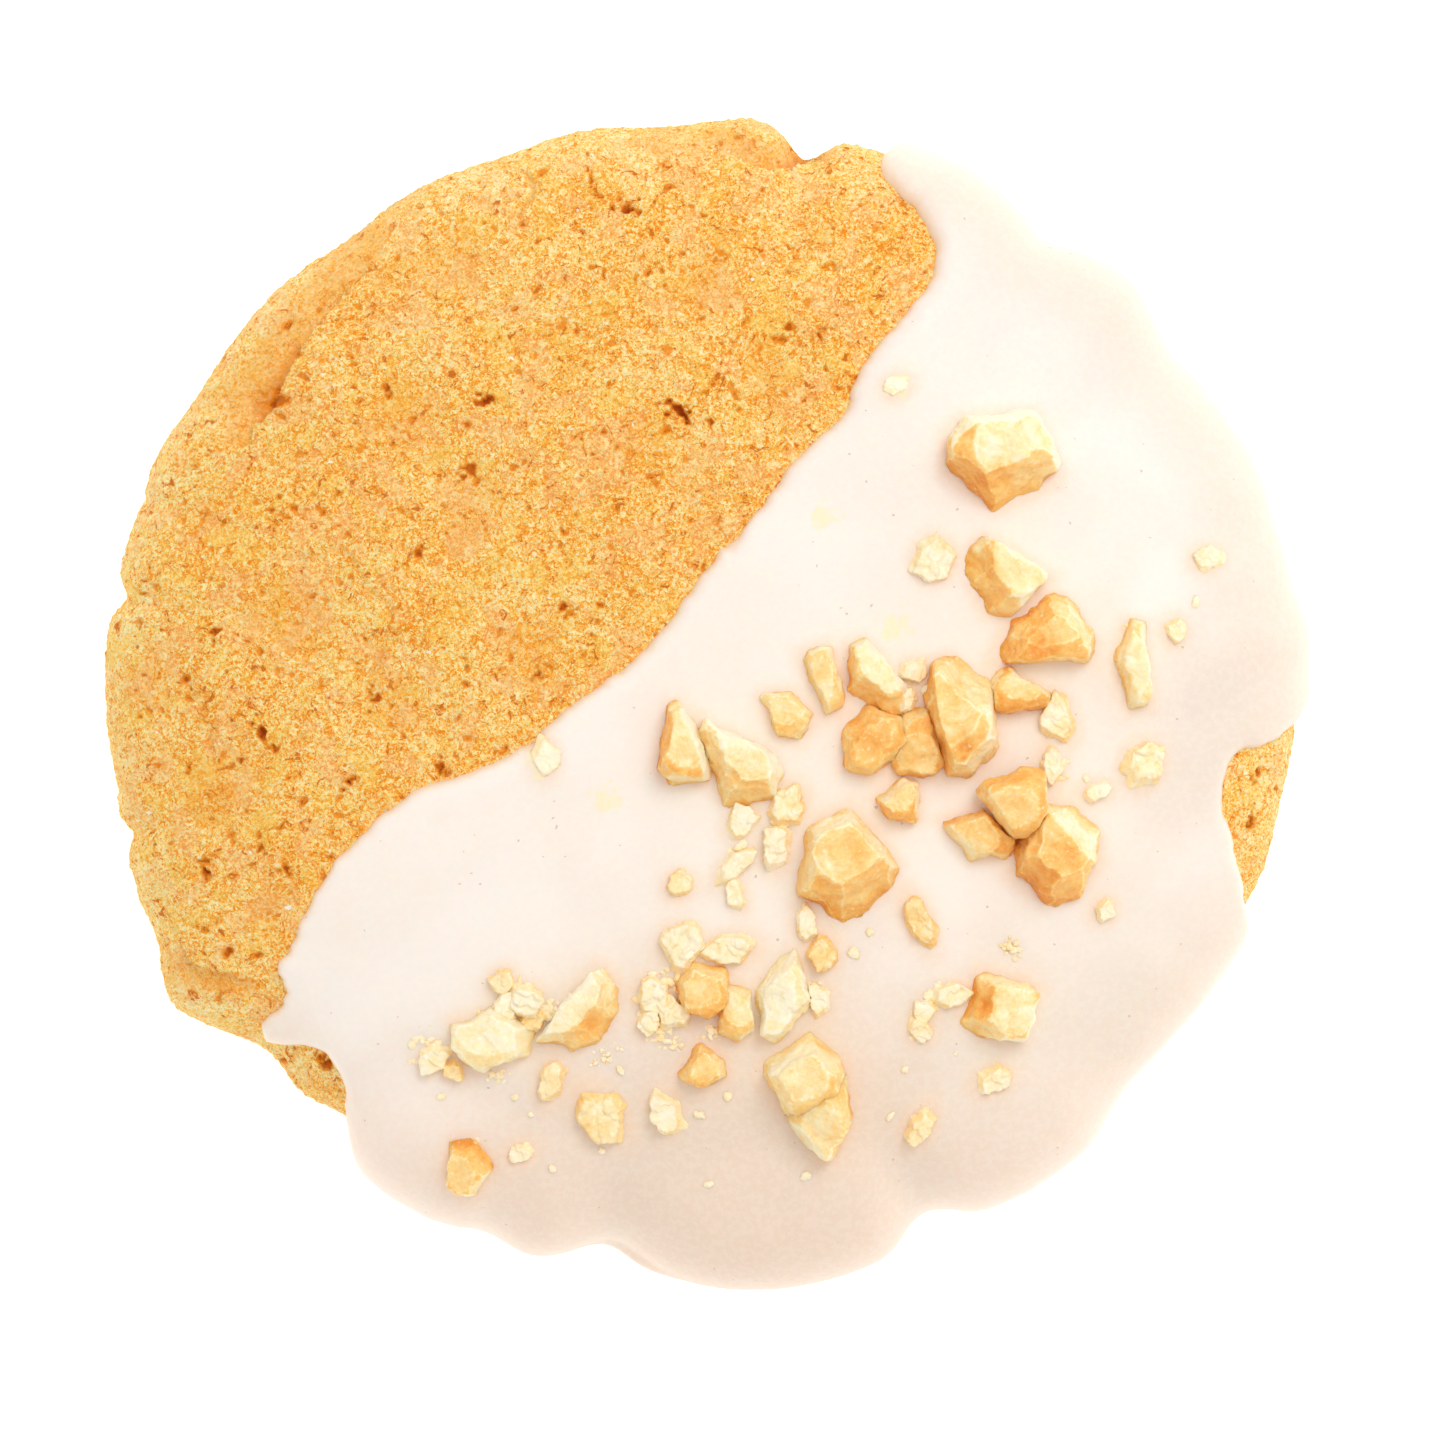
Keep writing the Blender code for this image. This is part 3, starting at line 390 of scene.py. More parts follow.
# Cracks: points of the line, depth at its first and last point, width of its lower side
CRACKS = (
    (((-30.6, 20.6), (-28.4, 24.7), (-26.3, 27.6), (-23.4, 31.2), (-21.6, 34.0)), 1.1, 0.3, 2.4),
    (((1.0, 38.9), (4.0, 37.4), (6.6, 37.9)), 0.6, 1.1, 1.5),
    (((-35.5, -18.4), (-32.0, -19.0), (-29.8, -19.4)), 0.7, 0.5, 1.4),
)
CRACK_INNER_WIDTH = 0.22
# Hairlines: points of a line, depth
HAIRLINES = (
    (((-28.0, 10.2), (-25.6, 10.6), (-24.4, 9.6), (-23.7, 8.4), (-22.6, 7.3), (-21.8, 6.0)), 0.28),
    (((-22.0, 5.3), (-22.4, 3.8), (-23.3, 2.4)), 0.22),
    (((-15.9, 21.4), (-14.8, 20.8), (-14.0, 21.3)), 0.25),
    (((-9.9, 22.6), (-8.2, 24.2), (-7.5, 26.0)), 0.2),
    (((-36.2, 2.0), (-35.0, -0.5), (-34.4, -3.0)), 0.2),
    (((-13.3, 33.8), (-12.2, 35.8), (-12.6, 37.0)), 0.35),
    (((-7.8, 3.3), (-6.2, 4.1), (-5.3, 5.6)), 0.2),
)
# Holes: place, length, width, bearing of the long way, depth
HOLES = (
    (-2.0, 20.2, 2.6, 0.9, -42, 1.1), (-3.2, 20.9, 1.2, 0.4, -15, 0.5), (-5.7, 34.3, 1.6, 0.9, 20, 0.8),
    (-15.2, 21.2, 1.3, 0.7, 30, 0.8), (-16.4, 16.3, 1.0, 0.9, 60, 0.6), (-16.9, 15.8, 0.8, 0.5, 0, 0.5),
    (-22.2, 21.9, 0.9, 0.6, 80, 0.6), (-4.2, 30.0, 1.2, 0.6, 40, 0.5), (-20.1, 10.4, 1.0, 0.7, 20, 0.7),
    (-10.1, 6.7, 0.8, 0.6, 90, 0.6), (-34.2, 4.9, 1.1, 0.7, 70, 0.7), (-36.3, 1.9, 0.9, 0.5, 100, 0.5),
    (-30.9, -2.0, 1.5, 1.0, -50, 0.8), (-30.0, -2.9, 0.8, 0.5, 0, 0.6), (-34.9, -11.4, 1.4, 0.8, -50, 0.8),
    (-24.8, -5.3, 0.8, 0.6, 20, 0.8), (-23.0, 0.5, 0.9, 0.8, 60, 0.6), (-29.3, -11.2, 0.9, 0.6, 100, 0.6),
    (5.6, 26.1, 0.9, 0.6, 30, 0.6), (7.7, 25.6, 0.9, 0.7, -60, 0.6), (-32.3, -3.9, 1.0, 0.5, 0, 0.5),
    (-30.0, 21.1, 2.9, 1.8, 5, 0.50), (-18.5, -4.2, 1.0, 0.7, 60, 0.7), (-14.5, -3.2, 0.8, 0.5, 30, 0.5),
    (-31.0, -9.8, 1.1, 0.5, 60, 0.5), (-29.0, 13.0, 0.8, 0.6, 0, 0.4), (-38.0, 8.3, 0.8, 0.5, 60, 0.4),
    (-27.6, -18.6, 1.2, 0.6, 20, 0.5), (-33.2, -17.0, 1.2, 0.7, 30, 0.6), (-11.8, 2.2, 0.9, 0.5, 45, 0.5),
    (8.9, 30.4, 0.7, 0.5, 0, 0.4), (-0.6, 26.8, 0.7, 0.4, 30, 0.4), (-7.9, 17.3, 0.7, 0.4, -20, 0.4),
    (38.0, -4.6, 0.9, 0.7, 60, 0.5), (37.6, -8.1, 0.9, 0.6, 90, 0.6), (-26.6, -24.9, 1.1, 0.8, 60, 0.7),
    (-29.6, -24.6, 0.8, 0.6, 10, 0.5),
)
PORE_COUNT = 900
PORE_SIZES = (0.24, 0.66)
PORE_DEPTHS = (0.12, 0.30)
PORE_SEED = 11
# A hole's wall stands between these shares of its radius; its parts are this deep, against the whole
HOLE_WALL = (0.4, 1.1)
SLOT_DEPTH = 0.7
HOLE_SATELLITES = 4
SATELLITE_DEPTH = 0.45
SATELLITE_WIDTHS = (0.25, 0.5)
# Crumb of the crust: size of the bumps, how far they reach
CRUMB = ((4.5, 0.04), (1.7, 0.07), (0.75, 0.10), (0.42, 0.10))
# The side is rougher than the top by this much, from one share of the rim's radius to another
SIDE_ROUGHNESS = 1.15
ROUGH_SIDE = (0.86, 1.0)
PALE_SIDE = (0.88, 0.99)
# Cracks and holes have a ragged outline: size of the wobbles, their seed, how far they reach
RAGGEDNESS = ((1.3, 5, 0.24), (0.5, 7, 0.24))
PORE_RAGGEDNESS = 0.6
PORE_LENGTHS = (1.0, 2.2)
# The crumb fades out under the icing between these depths beyond its edge
CRUMB_SHOWN = (-1.2, 0.2)


def lumps(x, y):
    """Gentle unevenness of the baked top, from a few seeded waves."""
    draw = random.Random(LUMP_SEED)
    total = np.zeros_like(x)
    for _ in range(LUMP_COUNT):
        turn = draw.uniform(0.0, 2 * math.pi)
        wave = draw.uniform(*LUMP_WAVES)
        phase = draw.uniform(0.0, 2 * math.pi)
        total += LUMP_HEIGHT * np.sin((x * math.cos(turn) + y * math.sin(turn)) * 2 * math.pi / wave + phase)
    return total


def nearest_on(path, points):
    """Distance of each point to a line's samples, and the number of the nearest sample."""
    offset = np.linalg.norm(points[:, None, :] - path[None, :, :], axis=2)
    nearest = offset.argmin(axis=1)
    return offset[np.arange(len(points)), nearest], nearest


def crack_depth(points):
    """Each crack is a step: sharp on its inner side, easing out towards the rim."""
    total = np.zeros(len(points))
    for line, first_depth, last_depth, width in CRACKS:
        path = through_points(line, 40)
        near, nearest = nearest_on(path, points)
        depth = np.linspace(first_depth, last_depth, len(path))[nearest]
        rimward = np.hypot(*points.T) - np.hypot(*path[nearest].T)
        reach = np.where(rimward > 0.0, width, CRACK_INNER_WIDTH)
        total += depth * np.exp(-(near / reach) ** 2)
    for line, depth in HAIRLINES:
        near, _ = nearest_on(through_points(line, 40), points)
        total += depth * np.exp(-(near / CRACK_INNER_WIDTH) ** 2)
    return total


def sink_hole(points, depths, x, y, length, width, heading, depth):
    """Deepen the points inside an oval, steeply at its edge."""
    near = np.flatnonzero(np.hypot(points[:, 0] - x, points[:, 1] - y) < length)
    along, aside = turned(points[near, 0] - x, points[near, 1] - y, heading)
    share = np.hypot(along / (0.5 * length), aside / (0.5 * width))
    depths[near] = np.maximum(depths[near], depth * (1.0 - smooth_step(*HOLE_WALL, share)))


def hole_cluster(draw, x, y, length, width, heading, depth):
    """A hole as the crust really opens: one ragged slot, and a few smaller ones strung out beside it."""
    shapes = [(x, y, 0.85 * length, 0.75 * width, heading + draw.uniform(-12, 12), SLOT_DEPTH * depth)]
    for _ in range(HOLE_SATELLITES):
        along, aside = 0.75 * length * draw.uniform(-1, 1), 0.9 * width * draw.uniform(-1, 1)
        dx, dy = turned(along, aside, -heading)
        size = width * draw.uniform(*SATELLITE_WIDTHS)
        spin = heading + draw.uniform(-40, 40)
        shapes.append((x + dx, y + dy, size * draw.uniform(1.2, 2.4), size, spin, SATELLITE_DEPTH * depth))
    return shapes


print(len(CRACKS), "cracks,", len(HAIRLINES), "hairlines,", len(HOLES), "holes and", PORE_COUNT, "pores")

# %% Relief of the crust
def crust_relief(way, flat, covered):
    """How far each point of the crust lifts, and how deep it lies in a crack, a hole or a pore."""
    plan = flat[:, :2]
    bare = smooth_step(*BARE_FADE, -covered)
    above_foot = smooth_step(RELIEF_FOOT, FOOT_HEIGHT, flat[:, 2])
    warp = sum(
        reach * np.column_stack([bumps(flat, size, seed), bumps(flat, size, seed + 1)])
        for size, seed, reach in RAGGEDNESS)
    crack = crack_depth(plan + warp)
    hole = np.zeros(len(flat))
    draw = random.Random(PORE_SEED)
    for row in HOLES:
        for shape in hole_cluster(draw, *row):
            sink_hole(plan + warp, hole, *shape)
    for _ in range(PORE_COUNT):
        turn, out = draw.uniform(0.0, 2 * math.pi), MEAN_RADIUS * math.sqrt(draw.random())
        size = draw.uniform(*PORE_SIZES) * draw.uniform(0.6, 1.0)
        sink_hole(plan + warp * PORE_RAGGEDNESS, hole, out * math.cos(turn), out * math.sin(turn),
                  size * draw.uniform(*PORE_LENGTHS), size, draw.uniform(0, 180), draw.uniform(*PORE_DEPTHS))
    side = smooth_step(*ROUGH_SIDE, share_of_rim(way))
    crumb = layered(flat, CRUMB, 20) * (1.0 + (SIDE_ROUGHNESS - 1.0) * side)
    shown = smooth_step(*CRUMB_SHOWN, -covered)
    crack, hole = crack * bare, hole * shown * np.where(way < WIDEST_WAY, 1.0, 0.0)
    deep = np.where(way < WIDEST_WAY, crack, 0.0) + hole
    return (lumps(*plan.T) * bare + crumb * shown - deep) * above_foot, crack, hole


def add_object(name, data):
    piece = bpy.data.objects.new(name, data)
    bpy.context.scene.collection.objects.link(piece)
    return piece


def mesh_object(name, points, faces, numbers):
    """A mesh from millimetre points, shaded smooth, with a number for each point under each name."""
    mesh = bpy.data.meshes.new(name)
    shifted = (np.asarray(points, float) - (*PLAN_MIDDLE, 0.0)) * MM
    mesh.from_pydata(shifted.tolist(), [], [tuple(map(int, face)) for face in faces])
    mesh.shade_smooth()
    for label, values in numbers.items():
        layer = mesh.attributes.new(label, "FLOAT", "POINT")
        layer.data.foreach_set("value", np.asarray(values, np.float32))
    return add_object(name, mesh)


def turned_over(faces, shared, shift):
    """Faces of an underside, which share the border's points and have their other points further on."""
    return [tuple(index if index < shared else index + shift for index in face)[::-1] for face in faces]


def make_biscuit():
    flat_plan = np.vstack([border, crust_inner])
    bearing, way = rolled(flat_plan)
    way = np.minimum(way, 1.0)
    covered = distance_to_loop(flat_plan, smooth_edge)
    relief, crack, hole = crust_relief(way, surface(bearing, way), covered)
    top = surface(bearing, way, relief)
    top[:len(border), 2] = 0.0
    base_bearing, base_share = rolled(base_inner)
    foot = surface(base_bearing, np.ones(len(base_inner)))
    base = np.column_stack([foot[:, 0] * base_share, foot[:, 1] * base_share, np.zeros(len(foot))])
    on_side = smooth_step(*PALE_SIDE, share_of_rim(way))
    numbers = {"crack": crack, "hole": hole, "high": relief, "side": on_side}
    numbers = {label: np.concatenate([values, np.zeros(len(base))]) for label, values in numbers.items()}
    faces = crust_faces + turned_over(base_faces, len(border), len(top) - len(border))
    return mesh_object("crumbly_biscuit", np.vstack([top, base]), faces, numbers)


biscuit = make_biscuit()
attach(biscuit, "root")
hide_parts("biscuit")
print("biscuit", len(biscuit.data.vertices), "points,", len(biscuit.data.polygons), "faces")

# %% [markdown]
# ## Writing shaders as sums
#
# A material's look comes from many small steps: a noise, a threshold, a mix. Placed by hand, those nodes are
# hard to read back. Here a socket is wrapped in a small class, so that 1 - mask or grain * 0.3 adds the Math
# node that it means. Colours go through Mix nodes, because a Math node would turn them grey. Every other node
# comes from one method that first sets the node up and then fills or links its sockets.

# %% Sockets that can be added and multiplied
class Signal:
    """An output socket of a finish that takes part in sums."""

    def __init__(self, finish, socket):
        self.finish = finish
        self.socket = socket

    def maths(self, operation, first, second):
        return self.finish.node("ShaderNodeMath", {"operation": operation}, {0: first, 1: second})

    def __add__(self, other):
        return self.maths("ADD", self, other)

    def __radd__(self, other):
        return self.maths("ADD", other, self)

    def __sub__(self, other):
        return self.maths("SUBTRACT", self, other)

    def __rsub__(self, other):
        return self.maths("SUBTRACT", other, self)

    def __mul__(self, other):
        return self.maths("MULTIPLY", self, other)

    def __rmul__(self, other):
        return self.maths("MULTIPLY", other, self)


def paint(red, green, blue):
    """A colour as seen on a screen, 0 to 255, turned into the light that Blender works with."""
    seen = (value / 255 for value in (red, green, blue))
    return (*(value / 12.92 if value <= 0.04045 else ((value + 0.055) / 1.055) ** 2.4 for value in seen), 1.0)


class Finish:
    """A material, and the nodes that make it."""

    def __init__(self, name):
        self.material = bpy.data.materials.new(name)
        self.material.use_nodes = True
        self.tree = self.material.node_tree
        self.shader = self.tree.nodes["Principled BSDF"]
        place = self.node("ShaderNodeTexCoord", {}, {}, "Object")
        grow = {"Vector": place, "Scale": 1 / MM}
        self.place = self.node("ShaderNodeVectorMath", {"operation": "SCALE"}, grow)

    def fill(self, socket, value):
        if isinstance(value, Signal):
            self.tree.links.new(value.socket, socket)
        else:
            socket.default_value = value

    def node(self, kind, settings, sockets, output=0):
        """Add a node: its settings first, then the values or links of its sockets."""
        node = self.tree.nodes.new(kind)
        for name, value in settings.items():
            if name == "stops":
                ramp = node.color_ramp
                for (position, colour), stop in zip(value, [*ramp.elements, *[None] * (len(value) - 2)]):
                    stop = stop or ramp.elements.new(position)
                    stop.position, stop.color = position, colour
            else:
                setattr(node, name, value)
        for name, value in sockets.items():
            self.fill(node.inputs[name], value)
        return Signal(self, node.outputs[output])

    def noise(self, size, detail=2.0, roughness=0.5, distortion=0.0):
        """Noise from 0 to 1 with spots about as wide as size, in millimetres."""
        sockets = {
            "Vector": self.place, "Scale": 1 / size, "Detail": detail, "Roughness": roughness,
            "Distortion": distortion,
        }
        return self.node("ShaderNodeTexNoise", {}, sockets)

    def number(self, label):
        """A number that the mesh holds for each point."""
        return self.node("ShaderNodeAttribute", {"attribute_name": label}, {}, "Fac")

    def distance_from(self, x, y, z):
        """Distance in millimetres from a place of the plan at some height."""
        place = (x - PLAN_MIDDLE[0], y - PLAN_MIDDLE[1], z)
        return self.node("ShaderNodeVectorMath", {"operation": "DISTANCE"}, {0: self.place, 1: place}, 1)

    def between(self, value, low, high):
        """0 at low, 1 at high, smooth between."""
        sockets = {"Value": value, "From Min": low, "From Max": high}
        return self.node("ShaderNodeMapRange", {"interpolation_type": "SMOOTHSTEP"}, sockets)

    def mix(self, share, first, second):
        """Blend two colours."""
        return self.node("ShaderNodeMix", {"data_type": "RGBA"}, {0: share, 6: first, 7: second}, 2)

    def tinted(self, base, *tints):
        """Lay tints over a colour: where a value goes from low to high, a share of the tint comes in."""
        for value, low, high, share, colour in tints:
            base = self.mix(self.between(value, low, high) * share, base, paint(*colour))
        return base

    def ramp(self, value, stops):
        """Colours at stops along a value."""
        stops = [(position, paint(*colour)) for position, colour in stops]
        return self.node("ShaderNodeValToRGB", {"stops": stops}, {"Fac": value})

    def bump(self, height, distance, strength=1.0):
        """Tilt the normals as if the surface were raised by height times distance, in millimetres."""
        sockets = {"Height": height, "Distance": distance * MM, "Strength": strength}
        return self.node("ShaderNodeBump", {}, sockets)

    def finish(self, **sockets):
        """Fill the shader's sockets, named with underscores."""
        for name, value in sockets.items():
            self.fill(self.shader.inputs[name.replace("_", " ").title().replace("Ior", "IOR")], value)
        return self.material


print("paint for pale crust", [round(part, 3) for part in paint(255, 205, 125)[:3]])

# %% [markdown]
# ## The finish of the crust
#
# Baked dough is a mass of grains, some yellow with butter, some tan, some nearly white with flour, over a
# deeper orange where it is open. One noise of four tenths of a millimetre gives the grains and one half as
# wide their sharpness, wider ones make the patches, and the mesh's own numbers say where a hole or a crack
# is, so that the dark colour sits in the real hollow. It grows darker with depth, and where the crust lies
# low: partly the open crumb's own colour, partly painted shade. The same grains drive the bump, which keeps
# colour and relief in step. A tint comes in where its value passes a threshold, so the whole look is one
# table of tints.

# %% Biscuit finish
def biscuit_finish():
    crust = Finish("baked_crust")
    grain = crust.noise(0.40, 4.0, 0.72, 1.6)
    sand = crust.noise(0.19, 2.0, 0.7, 0.8)
    patch = crust.noise(4.2, 4.0, 0.6, 0.6)
    blush = crust.noise(2.6, 3.0, 0.6, 0.8)
    speckle = grain * 0.62 + sand * 0.38 + (patch - 0.5) * 0.10 + crust.number("side") * 0.03
    butter = crust.noise(0.95, 3.0, 0.7, 0.8) + (sand - 0.5) * 0.35
    flour = crust.noise(0.55, 0.0) + sand * 0.15
    crack, hole = crust.number("crack"), crust.number("hole")
    ragged = hole + (sand - 0.5) * 0.5
    crumb = crust.ramp(speckle, (
        (0.43, (242, 140, 28)), (0.47, (255, 180, 68)), (0.50, (255, 205, 102)), (0.53, (255, 222, 132)),
        (0.58, (255, 242, 186)),
    ))
    crumb = crust.tinted(
        crumb,
        (blush, 0.50, 0.62, 0.32, (255, 198, 138)),
        (blush, 0.46, 0.36, 0.32, (255, 212, 92)),
        (butter, 0.60, 0.62, 0.6, (246, 148, 26)),
        (butter, 0.65, 0.665, 0.8, (200, 98, 12)),
        # Darker down in cracks, holes and low places: partly their own colour, partly painted shade
        (crust.number("high"), -0.05, -0.25, 0.25, (250, 166, 60)),
        (crack + (grain - 0.5) * 0.3, 0.10, 0.40, 0.26, (252, 178, 88)),
        (crack + (sand - 0.5) * 0.6, 0.75, 1.0, 0.55, (236, 142, 50)),
        (hole + (grain - 0.5) * 0.2, 0.07, 0.11, 0.8, (246, 150, 30)),
        (ragged, 0.20, 0.27, 0.85, (204, 106, 20)),
        (ragged, 0.40, 0.50, 0.85, (178, 76, 12)),
        (flour, 0.92, 0.96, 1.0, (255, 248, 230)),
    )
    height = grain * 0.8 + sand * 0.5
    return crust.finish(
        base_color=crumb, roughness=0.88, normal=crust.bump(height, 0.22, 0.75), specular_ior_level=0.2,
    )


biscuit.data.materials.append(biscuit_finish())
print("biscuit finish has", len(biscuit.data.materials[0].node_tree.nodes), "nodes")

# %% [markdown]
# ## Where the nuts lie
#
# Every chunk and flake keeps the place and form that its solid has, so the tables come before the icing. The
# icing needs them: while it was wet it crept a little way up each nut, and round each nut its colour is
# warmed, partly by the nut's oil and partly as painted contact shade. A nut's footprint is an outline of
# straight sides, so the largest distance beyond any of its sides is the distance to the nut, near enough.

# %% Table of the chunks
# Place, height, tilt of the top (bearing it faces, degrees), its broken sides, each by the bearing that it
# faces, its reach at the icing and how far it leans in, and its roast: of the top, the bearing of its golden
# side, and how much more golden that side is than the rest. The golden side is partly the roasted skin and
# partly painted shade: most face away from the light, a few towards a close neighbour.
CHUNKS = (
    ((20.2, 17.0), 4.0, (60, 12), (
        (137, 4.1, 14), (95, 3.2, 11), (26, 3.5, 7), (-31, 4.1, 6), (-66, 3.1, 31), (233, 3.2, 17),
        (180, 4.0, 5)), (0.16, 235, 0.60)),
    ((20.4, 8.9), 2.9, (30, 22), (
        (59, 1.8, 5), (-42, 2.3, 7), (-100, 2.9, 26), (206, 2.4, 32), (180, 2.5, 27), (127, 3.1, 12)),
        (0.22, 200, 0.35)),
    ((23.1, 5.3), 3.0, (100, 10), (
        (-90, 2.3, 7), (133, 1.9, 26), (157, 2.7, 29), (80, 2.5, 26), (32, 2.5, 16), (0, 3.4, 10)),
        (0.44, 180, 0.26)),
    ((17.1, -0.6), 3.9, (150, 12), (
        (100, 4.1, 15), (52, 3.0, 26), (5, 2.5, 9), (-40, 3.6, 14), (-85, 4.4, 16), (197, 2.0, 9),
        (180, 2.3, 7)), (0.38, 190, 0.24)),
    ((14.5, -2.7), 1.7, (250, 12), (
        (21, 1.3, 7), (120, 2.2, 12), (-39, 2.3, 11), (-97, 2.2, 14), (162, 1.6, 11)), (0.5, 300, 0.15)),
    ((21.3, 1.0), 2.1, (80, 18), (
        (55, 1.1, 12), (-20, 2.2, 9), (-74, 1.4, 4), (190, 1.9, 6), (142, 2.0, 10)), (0.38, 270, 0.4)),
    ((18.8, -8.7), 2.1, (200, 16), (
        (47, 1.2, 5), (-88, 1.9, 15), (-30, 2.6, 11), (217, 1.8, 14), (105, 1.5, 9)), (0.5, 30, 0.25)),
    ((23.8, -9.9), 3.8, (30, 10), (
        (85, 3.2, 11), (45, 2.9, 26), (10, 3.1, 15), (-35, 3.1, 16), (-75, 3.5, 26), (232, 3.4, 29),
        (165, 2.7, 14)), (0.48, 232, 0.34)),
    ((12.9, -6.4), 1.8, (90, 14), (
        (0, 1.5, 9), (80, 1.4, 11), (126, 0.9, 16), (-90, 1.4, 6), (220, 1.2, 10)), (0.35, 240, 0.35)),
    ((11.4, -2.4), 2.6, (140, 14), (
        (180, 2.2, 16), (130, 2.1, 27), (70, 2.4, 14), (20, 2.4, 11), (-51, 1.9, 9), (-105, 2.5, 12)),
        (0.5, 180, 0.1)),
    ((11.5, 2.1), 2.4, (50, 20), (
        (180, 1.9, 12), (110, 2.7, 14), (42, 1.1, 5), (-10, 2.2, 9), (240, 1.9, 26)), (0.2, 215, 0.4)),
    ((-2.0, -2.5), 2.9, (30, 12), (
        (167, 1.3, 10), (100, 2.8, 16), (27, 1.4, 9), (0, 2.3, 15), (-90, 2.8, 12), (218, 2.5, 14)),
        (0.3, 180, 0.45)),
    ((2.1, -3.9), 3.0, (60, 14), (
        (64, 1.7, 9), (22, 2.5, 12), (-19, 3.0, 11), (-92, 2.9, 26), (204, 2.2, 26), (160, 3.6, 11)),
        (0.12, 240, 0.34)),
    ((9.4, -10.7), 4.0, (70, 8), (
        (38, 2.8, 14), (118, 3.4, 15), (172, 2.9, 11), (-20, 3.5, 16), (-52, 3.3, 29), (-108, 3.9, 32),
        (235, 3.6, 16)), (0.38, 260, 0.3)),
    ((5.1, -19.7), 2.2, (200, 14), (
        (18, 1.7, 7), (-47, 1.9, 9), (-108, 3.5, 15), (180, 1.9, 14), (139, 1.6, 16)), (0.06, 250, 0.12)),
    ((-0.3, -19.7), 2.1, (120, 10), (
        (15, 1.9, 11), (75, 1.8, 14), (135, 1.9, 12), (190, 1.9, 15), (250, 1.9, 12), (310, 1.8, 10)),
        (0.52, 250, 0.15)),
    ((2.0, -21.2), 1.7, (90, 12), (
        (10, 1.2, 9), (80, 1.9, 14), (170, 1.3, 11), (250, 1.8, 12), (-50, 1.6, 10)), (0.3, 180, 0.3)),
    ((-8.6, -21.1), 2.8, (140, 20), (
        (138, 1.6, 8), (75, 3.6, 12), (35, 3.0, 18), (0, 2.2, 24), (-35, 1.9, 30), (-70, 2.2, 30),
        (-105, 2.9, 26), (190, 3.9, 14)), (0.12, 310, 0.32)),
    ((-15.0, -22.8), 2.0, (90, 10), (
        (67, 1.9, 9), (110, 2.0, 15), (180, 2.9, 16), (-8, 2.8, 26), (-70, 2.1, 14), (230, 2.5, 15)),
        (0.14, 250, 0.08)),
    ((-16.7, -31.9), 1.8, (80, 10), (
        (95, 2.0, 15), (35, 1.6, 12), (-30, 1.5, 14), (-90, 2.1, 26), (225, 1.7, 14), (170, 1.4, 12)),
        (0.42, 90, 0.25)),
    ((6.4, -25.2), 3.9, (120, 10), (
        (216, 2.4, 12), (175, 2.8, 11), (122, 2.0, 14), (52, 2.5, 10), (3, 2.9, 7), (-65, 2.6, 6)),
        (0.3, 300, 0.2)),
    ((7.9, -28.3), 3.3, (230, 12), (
        (216, 2.1, 11), (100, 3.2, 5), (5, 1.9, 9), (-28, 1.9, 10), (-74, 3.1, 16)), (0.3, 20, 0.16)),
    ((19.9, -20.8), 2.6, (20, 14), (
        (71, 2.1, 7), (-19, 2.5, 7), (-93, 2.4, 14), (232, 2.4, 26), (158, 2.3, 27)), (0.22, 160, 0.42)),
    ((-0.4, -24.9), 1.9, (60, 12), (
        (60, 1.3, 10), (10, 1.6, 11), (-60, 1.4, 9), (235, 1.5, 12), (150, 1.3, 14)), (0.5, 200, 0.12)),
    ((5.3, -0.5), 1.4, (90, 8), (
        (97, 1.6, 11), (42, 1.3, 10), (-30, 1.8, 9), (-100, 1.7, 12), (203, 1.2, 10), (140, 2.2, 9)),
        (0.36, 250, 0.1)),
    ((7.9, 1.7), 1.6, (190, 12), (
        (21, 1.1, 7), (-75, 2.5, 12), (200, 0.9, 15), (110, 2.4, 14)), (0.3, 250, 0.1)),
    ((29.1, 2.9), 1.9, (180, 10), (
        (5, 1.2, 11), (-80, 3.1, 12), (195, 1.1, 15), (160, 1.3, 14), (80, 3.0, 12)), (0.16, 200, 0.12)),
)
# The flat chunk that leans on its two neighbours: its underside is off the icing
LEANING_CHUNK = ((20.9, -6.6), 0.9, 4.3, (215, 12), (
    (8, 2.2, 2), (-41, 2.5, 6), (216, 1.8, 7), (114, 2.2, 4), (175, 2.6, 7)), (0.42, 135, 0.25))
# Hollows in broken faces: number of the chunk, place from its middle, radius, depth
HOLLOWS = (
    (9, -0.3, -0.2, 1.5, 0.7), (0, -0.6, -2.0, 1.6, 0.5), (3, -0.2, 1.6, 1.3, 0.4), (3, 0.1, -2.2, 1.0, 0.5),
    (17, 0.4, -0.8, 1.4, 0.6), (13, 0.8, 1.0, 1.3, 0.35), (7, 0.6, -0.2, 1.3, 0.3), (22, -1.0, 0.4, 0.9, 0.4),
    (12, 0.6, -0.6, 1.3, 0.35), (2, -0.6, -0.8, 1.2, 0.45), (1, -0.6, 0.4, 1.3, 0.4),
)
print(len(CHUNKS) + 1, "chunks of kernel, the largest",
      round(2 * max(side[1] for chunk in CHUNKS for side in chunk[3]), 1), "mm across")

